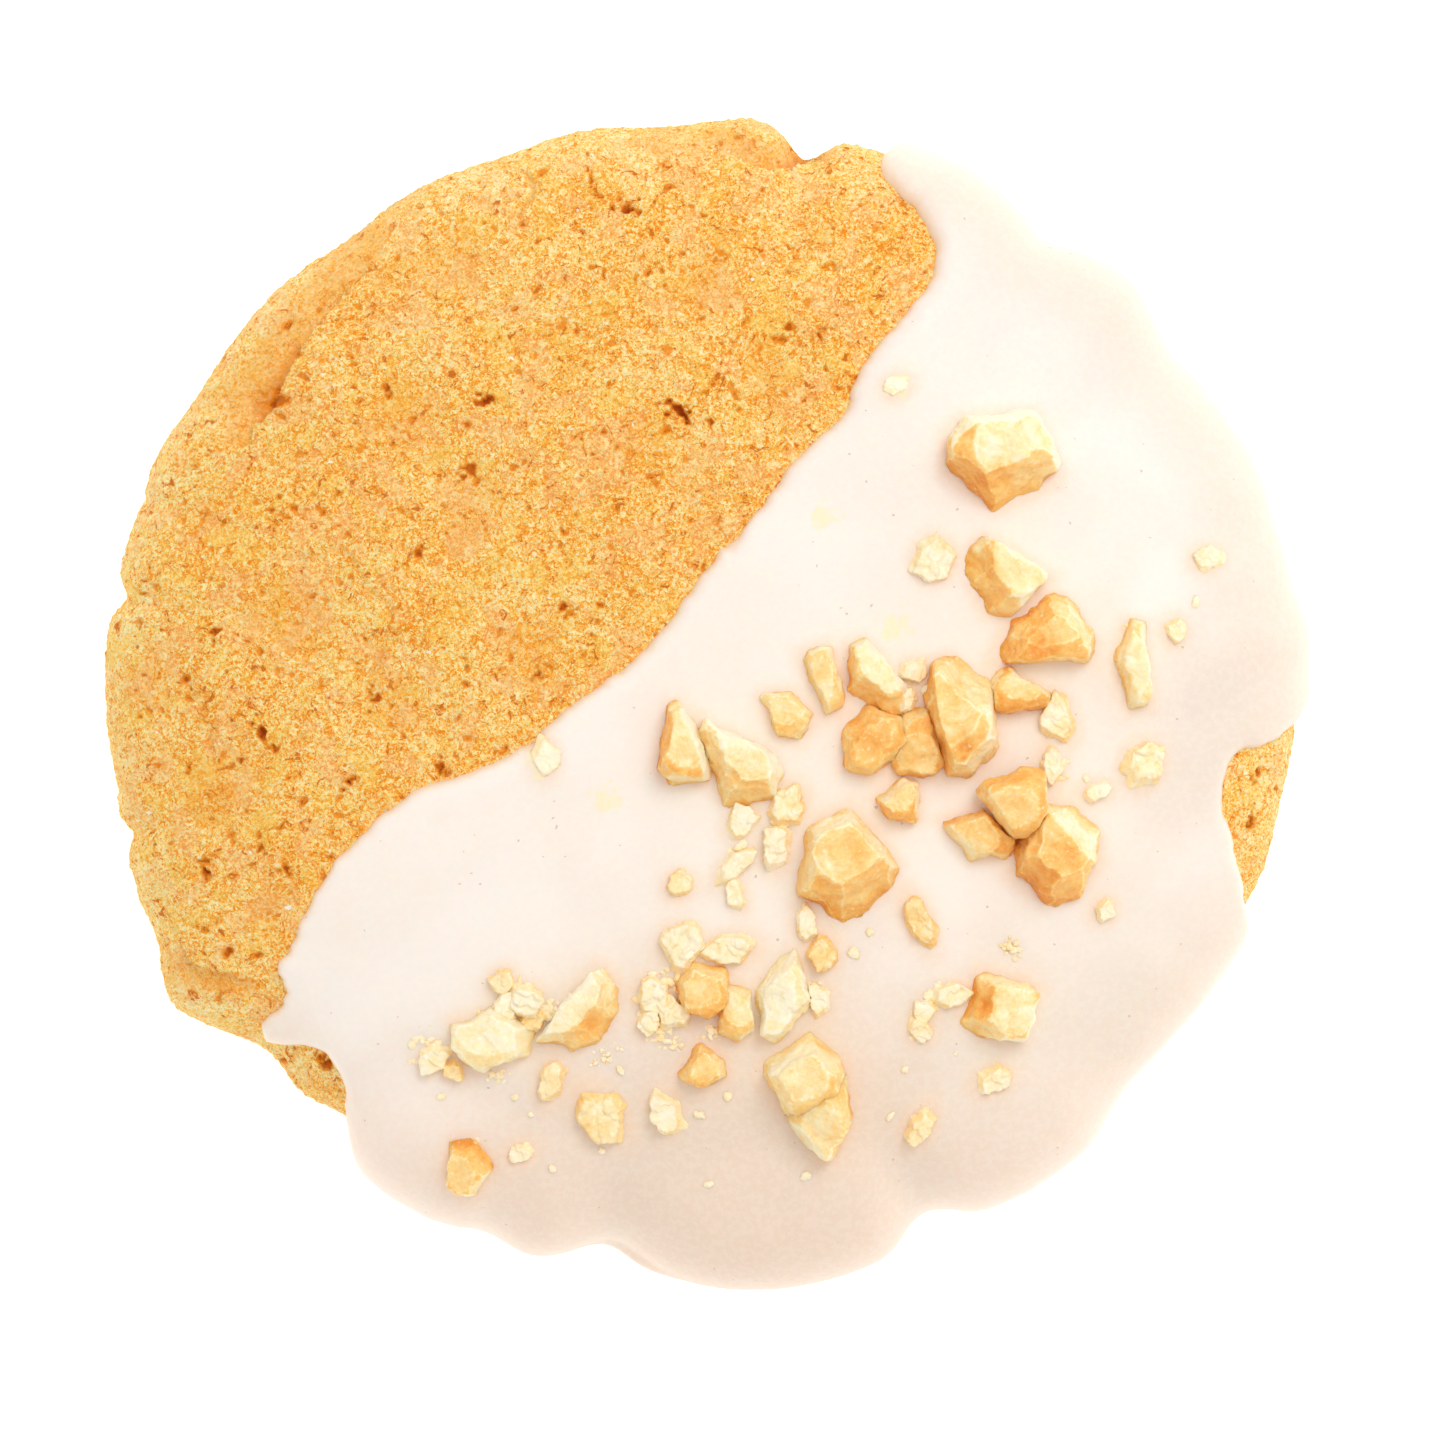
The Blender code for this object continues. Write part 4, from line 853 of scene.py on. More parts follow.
# %% Table of the flakes
# Place, length, width, height, bearing of the long way, roast
FLAKES = (
    (15.5, 10.2, 3.4, 2.9, 1.3, 80, 0.1), (24.2, -1.1, 3.6, 2.3, 1.2, 105, 0.18),
    (29.8, -4.1, 3.4, 2.8, 1.5, 75, 0.18), (5.5, -6.9, 3.4, 2.2, 1.4, 70, 0.2),
    (2.2, -8.1, 2.7, 2.1, 1.0, 60, 0.06), (4.6, -9.7, 3.1, 2.0, 1.3, 85, 0.04),
    (1.6, -11.0, 3.4, 1.7, 1.1, 50, 0.08), (1.9, -12.9, 2.3, 1.3, 0.8, 110, 0.06),
    (-2.0, -16.6, 3.3, 3.0, 1.5, 125, 0.14), (1.7, -16.6, 3.7, 2.3, 1.4, 10, 0.16),
    (-3.9, -19.8, 2.6, 2.3, 1.6, 30, 0.12), (-2.5, -21.2, 2.6, 2.0, 1.4, 150, 0.1),
    (-4.1, -21.7, 2.0, 1.7, 1.2, 80, 0.08), (-2.9, -27.9, 3.0, 2.2, 1.3, 100, 0.12),
    (-12.9, -20.2, 2.6, 2.1, 1.7, 20, 0.12), (-14.1, -21.0, 2.1, 1.8, 1.4, 100, 0.1),
    (-12.0, -21.6, 2.0, 1.6, 1.3, 60, 0.4), (-18.9, -24.2, 2.4, 1.9, 1.2, 15, 0.08),
    (-17.6, -24.9, 1.8, 1.4, 1.0, 140, 0.3), (-10.9, -26.0, 3.0, 1.7, 1.1, 75, 0.22),
    (-7.4, -27.9, 4.9, 2.9, 1.2, 130, 0.34), (14.5, -14.9, 4.1, 1.7, 1.5, 112, 0.46),
    (16.4, -19.9, 2.7, 1.6, 1.3, 10, 0.14), (15.0, -20.9, 1.9, 1.6, 1.0, 60, 0.1),
    (14.5, -22.3, 1.9, 1.6, 1.0, 120, 0.12), (19.5, -25.8, 2.8, 1.9, 1.1, 25, 0.16),
    (14.6, -28.8, 3.0, 1.8, 1.3, 65, 0.2), (8.0, -16.9, 2.5, 2.0, 1.3, 80, 0.44),
    (6.5, -14.9, 3.0, 1.4, 1.1, 95, 0.12), (14.1, 2.4, 1.9, 1.7, 1.0, 40, 0.08),
    (13.6, 0.4, 2.0, 1.6, 1.5, 70, 0.02), (23.6, -4.0, 2.6, 1.6, 1.1, 95, 0.08),
    (26.7, -5.8, 2.2, 1.3, 0.9, 15, 0.02), (32.1, 5.3, 2.0, 1.6, 0.9, 80, 0.12),
    (34.4, 10.1, 2.3, 1.7, 0.8, 10, 0.14), (27.3, -14.2, 1.6, 1.4, 0.9, 30, 0.1),
    (-2.0, -12.4, 2.1, 1.6, 0.9, 20, 0.3), (13.0, 22.1, 2.2, 1.5, 0.35, 35, 0.05),
    (-11.4, -3.5, 2.8, 2.0, 0.35, 100, 0.05), (-12.9, -30.8, 1.9, 1.4, 0.8, 20, 0.02),
    (7.7, -20.4, 2.5, 1.7, 0.8, 85, 0.1), (-14.4, -18.9, 1.9, 1.5, 1.1, 50, 0.3),
)
print(len(FLAKES), "flakes")

# %% Distance to the nearest nut
def distance_to_nuts(plan):
    """How far points of the plan lie from the nearest nut's footprint, in millimetres."""
    nearest = np.full(len(plan), 9.0)
    for (x, y), _, _, sides, _ in CHUNKS:
        beyond = np.full(len(plan), -9.0)
        for bearing, foot, _ in sides:
            outward, _ = turned(plan[:, 0] - x, plan[:, 1] - y, bearing)
            beyond = np.maximum(beyond, outward - foot)
        nearest = np.minimum(nearest, beyond)
    for x, y, length, width, _, heading, _ in FLAKES:
        along, aside = turned(plan[:, 0] - x, plan[:, 1] - y, heading)
        share = np.hypot(along / (0.5 * length), aside / (0.5 * width))
        nearest = np.minimum(nearest, (share - 1.0) * 0.5 * width)
    return nearest


print("a bare place lies", round(float(distance_to_nuts(np.array([[8.0, 8.0]]))[0]), 1), "mm from a nut")

# %% [markdown]
# ## The icing
#
# Set sugar icing is a skin under a millimetre thick on top, and up to three in the drips. It is smooth, with
# a rounded edge where its own tension held it. A Solidify modifier would give one thickness, so each point
# gets its own: thin on top, thick in the drips, rounded off like a quarter circle at the edge. The edge
# itself is sunk a little into the crust, so that the line where the two meet is as uneven as the crust.

# %% Thickness of the icing
GAP = 0.3
ICING_DEPTH = 0.8
EDGE_ROUND = 1.2
EDGE_WIDENING = 0.8
SIDE_SHARES = (0.80, 0.99)
REACH_SOFTNESS = 1.0
LEAST_SIDE_DEPTH = 0.55
# How far the iced side reaches out, by bearing: drips stand proud between the notches
ICING_REACH = (
    (-140, 39.2), (-131, 39.4), (-127, 40.5), (-123, 40.8), (-119, 40.6), (-113, 39.8), (-108, 40.3),
    (-105, 39.5), (-102, 38.2), (-99.5, 38.2), (-95, 39.7), (-91, 40.7), (-84, 41.0), (-76, 40.8),
    (-72, 40.3), (-68, 38.3), (-65.5, 38.4), (-62, 39.9), (-57, 40.5), (-49, 40.5), (-44, 39.5),
    (-39, 39.2), (-31, 40.1), (-14, 41.6), (-3, 41.5), (7, 42.2), (14, 41.1), (23, 41.6), (32, 41.0),
    (37.5, 40.3), (41, 41.0), (45, 41.8), (50, 41.0), (54.5, 39.7), (58, 40.7), (64, 41.6), (80, 41.4),
)
# How deep the icing's edge and underside sit in the crust
SKIN_SINK = 0.4
SWELLS = ((11.0, 0.10), (5.0, 0.05))
# Soft creases that run in from the notches: points of a line, depth, width
CREASES = (
    (((-6.6, -37.4), (-3.8, -36.3), (-1.3, -35.9), (1.4, -34.8), (3.8, -33.4)), 0.50, 1.9),
    (((15.4, -35.6), (14.6, -33.6), (12.6, -32.0)), 0.22, 1.6),
    (((33.0, -17.0), (30.0, -14.8), (26.5, -13.4)), 0.20, 1.8),
    (((-15.8, -36.4), (-14.8, -34.6), (-12.4, -33.6)), 0.18, 1.5),
    (((33.6, -0.8), (36.2, 1.0), (39.4, 2.4)), 0.26, 1.7),
)
# A thin lower rim of icing that stands out under the notch: bearing, half-width, reach, below this height,
# fading in over this much
LOWER_RIM = (-97.5, 3.2, 0.75, 5.0, 1.2)
# Swells, creases and feet fade in between these distances from the edge
SWELL_FADE = (0.5, 3.0)
# How far the icing crept up the nuts, and how wide that foot is
MENISCUS = (0.12, 0.5)


def icing_depth(bearing, way):
    """Thin on the top, thick in the drips."""
    reach_bearings, reaches = np.array(ICING_REACH).T
    around = (bearing + 180.0) % 360.0 - 180.0
    shifts = (-REACH_SOFTNESS, 0.0, REACH_SOFTNESS)
    reach = sum(np.interp(around + shift, reach_bearings, reaches) for shift in shifts) / len(shifts)
    side_depth = np.maximum(reach - rim_radius(bearing) - GAP, LEAST_SIDE_DEPTH)
    on_side = smooth_step(*SIDE_SHARES, share_of_rim(way))
    on_side = np.where(way > WIDEST_WAY, 1.0, on_side)
    return ICING_DEPTH + (side_depth - ICING_DEPTH) * on_side


def icing_lift(flat, edge_distance):
    """Height of the icing's surface over the smooth crust, rounded off at the edge."""
    bearing, way = rolled(flat)
    depth = icing_depth(bearing, way)
    width = EDGE_ROUND + EDGE_WIDENING * np.maximum(depth - ICING_DEPTH, 0.0)
    share = np.clip(edge_distance / width, 0.0, 1.0)
    rounding = np.sqrt(1.0 - (1.0 - share) ** 2)
    swell = layered(flat, SWELLS, 40)
    plan = surface(bearing, way)
    for line, deep, wide in CREASES:
        near, _ = nearest_on(through_points(line, 30), plan[:, :2])
        swell = swell - deep * np.exp(-(near / wide) ** 2)
    creep, foot_width = MENISCUS
    swell = swell + creep * np.exp(-np.maximum(distance_to_nuts(plan[:, :2]), 0.0) / foot_width)
    middle, half_width, reach, height, fade = LOWER_RIM
    low = smooth_step(height, height - fade, plan[:, 2])
    swell = swell + reach * low * np.exp(-((bearing - middle) / half_width) ** 2)
    swell = swell * smooth_step(*SWELL_FADE, edge_distance)
    return (GAP + depth + SKIN_SINK) * rounding - SKIN_SINK + swell


print("icing", round(float(icing_depth(np.array([0.0]), np.array([0.2]))[0]), 2), "mm on top,",
      round(float(icing_depth(np.array([-84.0]), np.array([0.8]))[0]), 2), "mm in the lowest drip")

# %% Icing skin
EDGE_ROWS = (0.05, 0.14, 0.27, 0.45, 0.7, 1.0, 1.4)
ROW_GAP = 0.12
ICING_SPACING = 0.42
UNDER_SPACING = 2.2
# Where the icing turns down the side, as shares of the rim's radius
TURN_DOWN = (0.84, 1.0)


def thinned(points, gap):
    """Keep one point in each cell of a grid as wide as the gap."""
    cells = np.round(points / gap).astype(int)
    _, first = np.unique(cells, axis=0, return_index=True)
    return points[np.sort(first)]


def rows_beside(loop, distances):
    """Rows of points inside a closed loop, at even distances from it."""
    aside = across(loop)
    aside *= np.sign(np.median(distance_to_loop(loop + 0.2 * aside, loop)))
    rows = []
    for distance in distances:
        row = loop + aside * distance
        rows.append(row[distance_to_loop(row, loop) > 0.9 * distance])
    return np.vstack(rows)


def make_icing():
    top_inner = lattice(PROFILE_LENGTH, ICING_SPACING)
    top_inner = top_inner[distance_to_loop(top_inner, edge) > EDGE_ROWS[-1] + ICING_SPACING / 2]
    top_inner = np.vstack([thinned(rows_beside(edge, EDGE_ROWS), ROW_GAP), top_inner])
    under_inner = lattice(PROFILE_LENGTH, UNDER_SPACING)
    under_inner = under_inner[distance_to_loop(under_inner, edge) > UNDER_SPACING / 2]
    top_faces = fill_loop(edge, top_inner)
    under_faces = turned_over(fill_loop(edge, under_inner), len(edge), len(top_inner))
    flat = np.vstack([edge, top_inner, under_inner])
    edge_distance = np.zeros(len(flat))
    upper = slice(len(edge), len(edge) + len(top_inner))
    edge_distance[upper] = distance_to_loop(flat[upper], edge)
    lift = np.full(len(flat), -SKIN_SINK)
    lift[upper] = icing_lift(flat[upper], edge_distance[upper])
    bearing, way = rolled(flat)
    points = surface(bearing, way, lift)
    numbers = {
        "edge_distance": edge_distance,
        "near_nut": np.exp(-np.maximum(distance_to_nuts(points[:, :2]), 0.0)),
        "down_side": smooth_step(*TURN_DOWN, share_of_rim(way)),
    }
    return mesh_object("white_icing", points, top_faces + under_faces, numbers)


icing = make_icing()
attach(icing, "root")
print("icing", len(icing.data.vertices), "points,", len(icing.data.polygons), "faces")

# %% [markdown]
# ## The finish of the icing
#
# Sugar icing lets light a little way in, which softens its shadows and warms them where the biscuit is near.
# Subsurface scattering does that by itself. What it can't know is where the skin is thin: at the edge it
# shines in a peach line, and a few flakes of nut lie just under the surface as pale yellow spots. Painted
# shade is laid on too: a warmer beige where the icing turns down the side, over a few broad places of the
# icing, and, with the nut's oil, round each nut. All of that is mixed into the base colour, by the distance
# to the edge and to the places that the tables give.

# %% Icing finish
# Faint yellow stains where a flake lies under the icing: place, radius
STAINS = (
    (13.0, 22.1, 1.3), (12.8, 5.4, 1.2), (7.9, 13.0, 1.1), (-11.4, -3.5, 1.4), (-7.1, -6.3, 1.1),
    (19.5, 25.5, 0.9),
)
# Painted shade, laid as a warmer beige over broad parts of the icing: place, reach, share, colour
PAINTED_SHADE_PLACES = (
    (2.0, -40.0, 34.0, 0.95, (234, 214, 196)), (36.0, 1.0, 13.0, 0.9, (236, 221, 208)),
    (27.0, 32.0, 28.0, 0.55, (240, 225, 220)), (27.0, -25.0, 17.0, 0.6, (236, 220, 203)),
)


def icing_finish():
    sugar = Finish("set_icing")
    top = BISCUIT_HEIGHT + GAP + ICING_DEPTH
    cloud = sugar.noise(9.0, 2.0)
    tint = sugar.mix(sugar.between(cloud, 0.35, 0.68), paint(250, 237, 228), paint(253, 241, 234))
    # Painted shade at each of these places
    for x, y, reach, share, colour in PAINTED_SHADE_PLACES:
        away = sugar.distance_from(x, y, top) + (cloud - 0.5) * 12.0
        tint = sugar.tinted(tint, (away, reach, 0.2 * reach, share, colour))
    # Painted shade: a warmer beige where the icing turns down the side
    tint = sugar.mix(sugar.number("down_side") * 0.6, tint, paint(240, 219, 200))
    # Warmer round each nut: partly the nut's oil, partly painted contact shade
    tint = sugar.tinted(tint, (sugar.number("near_nut"), 0.3, 1.0, 0.45, (252, 216, 186)))
    stain = sugar.noise(0.9, 3.0, 0.6, 0.5)
    for x, y, radius in STAINS:
        away = sugar.distance_from(x, y, top) + (stain - 0.5) * 3.2
        tint = sugar.tinted(tint, (away, radius, 0.45 * radius, 0.6, (255, 238, 190)))
    speck, film = sugar.noise(0.38, 0.0), sugar.noise(0.45, 3.0, 0.65)
    tint = sugar.tinted(
        tint,
        (sugar.number("edge_distance"), 0.6, 0.05, 0.6, (255, 214, 180)),
        (speck, 0.86, 0.885, 0.5, (176, 150, 124)),
        (film, 0.42, 0.60, 0.14, (255, 250, 244)),
    )
    skin = sugar.noise(0.7, 3.0, 0.6)
    return sugar.finish(
        base_color=tint, roughness=0.40, normal=sugar.bump(skin, 0.03, 0.6), specular_ior_level=0.35,
        subsurface_weight=0.30, subsurface_scale=0.002, subsurface_radius=(1.0, 0.5, 0.3),
    )


icing.data.materials.append(icing_finish())
print("icing finish has", len(icing.data.materials[0].node_tree.nodes), "nodes")

# %% [markdown]
# ## Chopped peanuts
#
# A knife splits a roasted kernel into chunks with one or two rounded sides, golden outside, and flat broken
# faces that are paler. Every chunk is a round body cut by planes. Booleans would leave razor edges and odd
# triangles, so each piece is worked out as a star: from its middle, every direction reaches as far as the
# nearest plane or the round body lets it. A soft minimum of those reaches rounds the edges off, and it also
# tells which face a point lies on, which is what colours it.

# %% Star solids
NUT_SINK = 0.45
KERNEL_ROUND = 1.28
KERNEL_TALL = 0.95
KERNEL_MIDDLE = 0.2
# Sharpness of the edges between broken faces
CHUNK_SHARPNESS = 26.0
FLAKE_SHARPNESS = 30.0
# Belonging to a face falls off this much faster than the form does
COLOUR_SHARPNESS = 1.3
# How far the edges wander from straight, as parts of the reach: size of the bends, how far
WANDER = ((0.95, 0.19), (0.4, 0.08))
# Where a chunk's rays start, as a share of its height, and its least roundness, as a share of its reach
STAR_HEIGHT = 0.42
LEAST_ROUND = 0.5
# Painted contact shade: how much darker a chunk is where it meets the icing, up to this share of its height
FOOT_SHADE = 0.30
FOOT_SHARE = 0.45
# A kernel's round skin is this roasted: share of what its golden side has more, and a bit on top
SKIN_ROAST = (0.7, 0.12)
# A hollow is full depth above the second of these shares of the height, and this much darker, as painted
# shade
HOLLOW_RISE = (0.2, 0.7)
HOLLOW_SHADE = 0.25
# How much the nearest face has a point to itself, from a ridge to the middle of the face
RIDGE_SHARES = (0.45, 0.75)
# Seeds of the noise: the first chunk, the first flake, and the step to the next
CHUNK_NOISE, FLAKE_NOISE, NOISE_STEP = 60, 300, 7
# Unevenness of a broken face: size of the bumps, reach
BREAKS = ((2.6, 0.24), (1.1, 0.13), (0.5, 0.09), (0.26, 0.05))


def sphere(subdivisions):
    """Directions and triangles of an even ball."""
    ball = bmesh.new()
    bmesh.ops.create_icosphere(ball, subdivisions=subdivisions, radius=1.0)
    directions = np.array([corner.co[:] for corner in ball.verts])
    triangles = np.array([[corner.index for corner in face.verts] for face in ball.faces])
    ball.free()
    return directions / np.linalg.norm(directions, axis=1)[:, None], triangles


def facing(bearing, lean):
    """Outward normal of a face that faces a bearing and leans in by some degrees."""
    turn, tip = math.radians(bearing), math.radians(lean)
    return np.array([math.cos(turn) * math.cos(tip), math.sin(turn) * math.cos(tip), math.sin(tip)])


def reach_to_ball(directions, start, centre, axes):
    """Distance from a point inside an ellipsoid to its skin, in every direction."""
    offset = (start - centre) / axes
    step = directions / axes
    a = np.sum(step * step, axis=1)
    b = step @ offset
    return (-b + np.sqrt(b * b - a * (offset @ offset - 1.0))) / a


def star(directions, start, planes, ball, seed, sharpness):
    """Points of a round body cut by planes, and how much each point belongs to each face."""
    shifts = [seed + axis + 0.4 for axis in range(3)]
    bend = [sum(far * bumps(directions, size, shift) for size, far in WANDER) for shift in shifts]
    aim = directions + np.column_stack(bend)
    aim /= np.linalg.norm(aim, axis=1)[:, None]
    reaches = [(normal @ (point - start)) / np.maximum(aim @ normal, 1e-3) for normal, point in planes]
    reaches = np.array([*reaches, reach_to_ball(aim, start, *ball)])
    reach = (reaches ** -sharpness).sum(axis=0) ** (-1 / sharpness)
    belonging = (reaches / reach) ** (-sharpness * COLOUR_SHARPNESS)
    return start + directions * reach[:, None], belonging / belonging.sum(axis=0)


def ridges(belonging):
    """1 where two faces meet, 0 where a point lies well inside one."""
    return 1.0 - smooth_step(*RIDGE_SHARES, belonging.max(axis=0))


def roughened(points, start, seed, strength=1.0):
    """Push points out and in a little, as a break through a nut leaves them."""
    out = points - start
    out /= np.linalg.norm(out, axis=1)[:, None]
    return points + out * (layered(points, BREAKS, seed) * strength)[:, None]


def spun(points, heading):
    """Points of a piece turned to a heading, about its own middle."""
    x, y = turned(points[:, 0], points[:, 1], -heading)
    return np.column_stack([x, y, points[:, 2]])


def stand_on_icing(points, x, y):
    """Move a nut from its own plan onto the icing, square to the surface."""
    bearing = float(bearing_of(x, y))
    ways = WAY[WAY <= WIDEST_WAY]
    around = np.full(len(ways), bearing)
    tops = surface(around, ways, GAP + icing_depth(around, ways))
    way = float(np.interp(math.hypot(x, y), np.hypot(tops[:, 0], tops[:, 1]), ways))
    foot = [float(np.interp(way, ways, tops[:, axis])) for axis in range(3)]
    out, up = float(np.interp(way, WAY, WAY_OUT)), float(np.interp(way, WAY, WAY_UP))
    turn = math.radians(bearing)
    normal = Vector((out * math.cos(turn), out * math.sin(turn), up))
    tilt = np.array(Vector((0, 0, 1)).rotation_difference(normal).to_matrix())
    return points @ tilt.T + foot


print("a ball of 5 subdivisions has", len(sphere(5)[0]), "points")

# %% Chunks on the icing
def chunk_points(directions, number, place, underside, height, tilt, sides, roast):
    """One broken piece of kernel, with its roast and painted shade at every point."""
    least = LEAST_ROUND * max(foot for _, foot, _ in sides)
    axes = [KERNEL_TALL * height]
    for part in (math.sin, math.cos):
        spread = max(foot * abs(part(math.radians(bearing))) for bearing, foot, _ in sides)
        axes.insert(0, KERNEL_ROUND * max(spread, least))
    start = np.array([0.0, 0.0, underside + STAR_HEIGHT * (height - underside)])
    planes = [(facing(bearing, lean), foot * facing(bearing, 0.0)) for bearing, foot, lean in sides]
    planes.append((facing(tilt[0], 90 - tilt[1]), np.array([0.0, 0.0, height])))
    planes.append((np.array([0.0, 0.0, -1.0]), np.array([0.0, 0.0, underside])))
    ball = (np.array([0.0, 0.0, KERNEL_MIDDLE * height]), np.array(axes))
    seed = CHUNK_NOISE + NOISE_STEP * number
    points, belonging = star(directions, start, planes, ball, seed, CHUNK_SHARPNESS)
    points = roughened(points, start, seed)
    top, golden_and_shaded_side, more = roast
    # The golden side is partly the roasted skin, partly painted shade on the side away from the light
    face_roast_and_shade = [top + more * math.cos(math.radians(bearing - golden_and_shaded_side)) for bearing, _, _ in sides]
    face_roast_and_shade += [top, top, top + SKIN_ROAST[0] * more + SKIN_ROAST[1]]
    toast = belonging.T @ np.array(face_roast_and_shade)
    for chunk, dx, dy, radius, depth in HOLLOWS:
        if chunk == number:
            dip = np.exp(-((points[:, 0] - dx) ** 2 + (points[:, 1] - dy) ** 2) / radius ** 2)
            dip *= smooth_step(*HOLLOW_RISE, points[:, 2] / height)
            points[:, 2] -= depth * dip
            # Painted shade in the hollow
            toast = toast + HOLLOW_SHADE * dip
    # Painted contact shade at the foot, where the chunk meets the icing
    toast = toast + FOOT_SHADE * (1.0 - smooth_step(0.0, FOOT_SHARE * height, points[:, 2]))
    return stand_on_icing(points, *place), toast, ridges(belonging)


def joined(parts, triangles):
    """Stack pieces that share one set of triangles."""
    count = len(parts[0][0])
    points = np.vstack([part[0] for part in parts])
    faces = np.vstack([triangles + count * order for order in range(len(parts))])
    return points, faces, {
        "toast": np.concatenate([part[1] for part in parts]),
        "ridge": np.concatenate([part[2] for part in parts]),
    }


BIG_REACH = 3.3
all_chunks = [(number, place, -NUT_SINK, *rest) for number, (place, *rest) in enumerate(CHUNKS)]
all_chunks.append((len(CHUNKS), *LEANING_CHUNK))
big = [chunk for chunk in all_chunks if max(side[1] for side in chunk[5]) > BIG_REACH]
small = [chunk for chunk in all_chunks if chunk not in big]
nuts = []
for name, chunks, subdivisions in (("peanut_halves", big, 6), ("peanut_chunks", small, 5)):
    directions, triangles = sphere(subdivisions)
    parts = [chunk_points(directions, *chunk) for chunk in chunks]
    nuts.append(mesh_object(name, *joined(parts, triangles)))
    print(name, len(chunks), "pieces,", len(nuts[-1].data.polygons), "faces")

# %% [markdown]
# ## Flakes and crumbs
#
# Between the chunks lie thin splinters and the dust of the knife. A flake is a star too, from an uneven
# outline of six sides that a seeded draw gives, the same draw as in the solids. The crumbs come in heaps: a
# rule scatters rough grains in an oval, thicker towards its middle, and stacks the late ones a little higher.

# %% Flakes
FLAKE_SEED = 19
FLAKE_CORNERS = 6
FLAKE_TOP_SHARE = 0.7
FLAKE_SPREAD = 1.12
FLAKE_UNEVENNESS = 0.17
# A flake shrinks when its corners are rounded off, so its outline is grown by this much
FLAKE_GROWTH = 1.12
# Ragged sides of a flake: size of the teeth round its outline, how far they reach, as parts of it
RAGGED = ((0.9, 0.16), (0.3, 0.06))
NOTCH_SIZE, NOTCH_DEPTH = 0.33, 0.12
# Layers that came off its top: size of their outline, softness of their edge, shift of the seed
LAYERS = ((1.2, 0.06, 4.2), (0.8, 0.05, 5.1))
LAYER_DEPTH = 0.10
FLAKE_BREAKS = 0.22
# Half-widths of the round body that a flake is cut from, as parts of its length, width and height
FLAKE_BODY = (0.72, 0.72, 1.3)
FLAKE_TOAST, FLAKE_SIDE_TOAST = 0.8, 0.12


def torn(points, start, height, seed):
    """Give a flake ragged sides, and a top that came off in layers."""
    out = points[:, :2] - start[:2]
    around = out / np.maximum(np.linalg.norm(out, axis=1), 1e-6)[:, None]
    ragged = sum(reach * bumps(around, size, seed + size) for size, reach in RAGGED)
    ragged -= NOTCH_DEPTH * np.maximum(bumps(around, NOTCH_SIZE, seed + 2.5), 0.0)
    points = points.copy()
    points[:, :2] = start[:2] + out * (FLAKE_GROWTH + ragged)[:, None]
    upper = smooth_step(0.1, 0.6, points[:, 2] / height)
    flat = points[:, :2]
    gone = sum(smooth_step(-soft, soft, bumps(flat, size, seed + shift)) for size, soft, shift in LAYERS)
    points[:, 2] -= upper * gone * LAYER_DEPTH * height
    return roughened(points, start, seed, FLAKE_BREAKS)


def flake_points(directions, number, draw, x, y, length, width, height, heading, roast):
    """One splinter: an uneven six-sided slab, narrower at the top."""
    uneven = FLAKE_UNEVENNESS
    outline = []
    for step in range(FLAKE_CORNERS):
        turn = 2 * math.pi * (step + draw.uniform(-2 * uneven, 2 * uneven)) / FLAKE_CORNERS
        grow = draw.uniform(1 - uneven, 1 + uneven)
        reach = 0.5 * FLAKE_SPREAD * grow
        outline.append((reach * length * math.cos(turn), reach * width * math.sin(turn)))
    shift = np.array([draw.uniform(-uneven, uneven) * length, draw.uniform(-uneven, uneven) * width])
    tops = [height * draw.uniform(1 - 2 * uneven, 1.0) for _ in outline]
    planes = []
    for first, second in zip(outline, outline[1:] + outline[:1]):
        low_a, low_b = np.array([*first, -NUT_SINK]), np.array([*second, -NUT_SINK])
        high = np.array([*(np.array(first) * FLAKE_TOP_SHARE + shift), height])
        normal = np.cross(low_b - low_a, high - low_a)
        planes.append((normal / np.linalg.norm(normal), low_a))
    lean = math.degrees(math.atan2(max(tops) - min(tops), length))
    tall = sum(tops) / len(tops)
    lowest = 360.0 * tops.index(min(tops)) / FLAKE_CORNERS
    planes.append((facing(lowest, 90 - lean), np.array([0.0, 0.0, tall])))
    planes.append((np.array([0.0, 0.0, -1.0]), np.array([0.0, 0.0, -NUT_SINK])))
    start = np.array([0.3 * shift[0], 0.3 * shift[1], 0.25 * height])
    ball = (start, np.array(FLAKE_BODY) * (length, width, height))
    seed = FLAKE_NOISE + NOISE_STEP * number
    points, belonging = star(directions, start, planes, ball, seed, FLAKE_SHARPNESS)
    points = torn(points, start, height, seed)
    toast = FLAKE_TOAST * roast + FLAKE_SIDE_TOAST * (belonging[:-3].sum(axis=0) - 0.5)
    return stand_on_icing(spun(points, heading), x, y), toast, ridges(belonging)


directions, triangles = sphere(5)
draw = random.Random(FLAKE_SEED)
parts = [flake_points(directions, number, draw, *flake) for number, flake in enumerate(FLAKES)]
for name, some in (("peanut_flakes", parts[::2]), ("peanut_splinters", parts[1::2])):
    nuts.append(mesh_object(name, *joined(some, triangles)))
    print(name, len(some), "pieces,", len(nuts[-1].data.polygons), "faces")

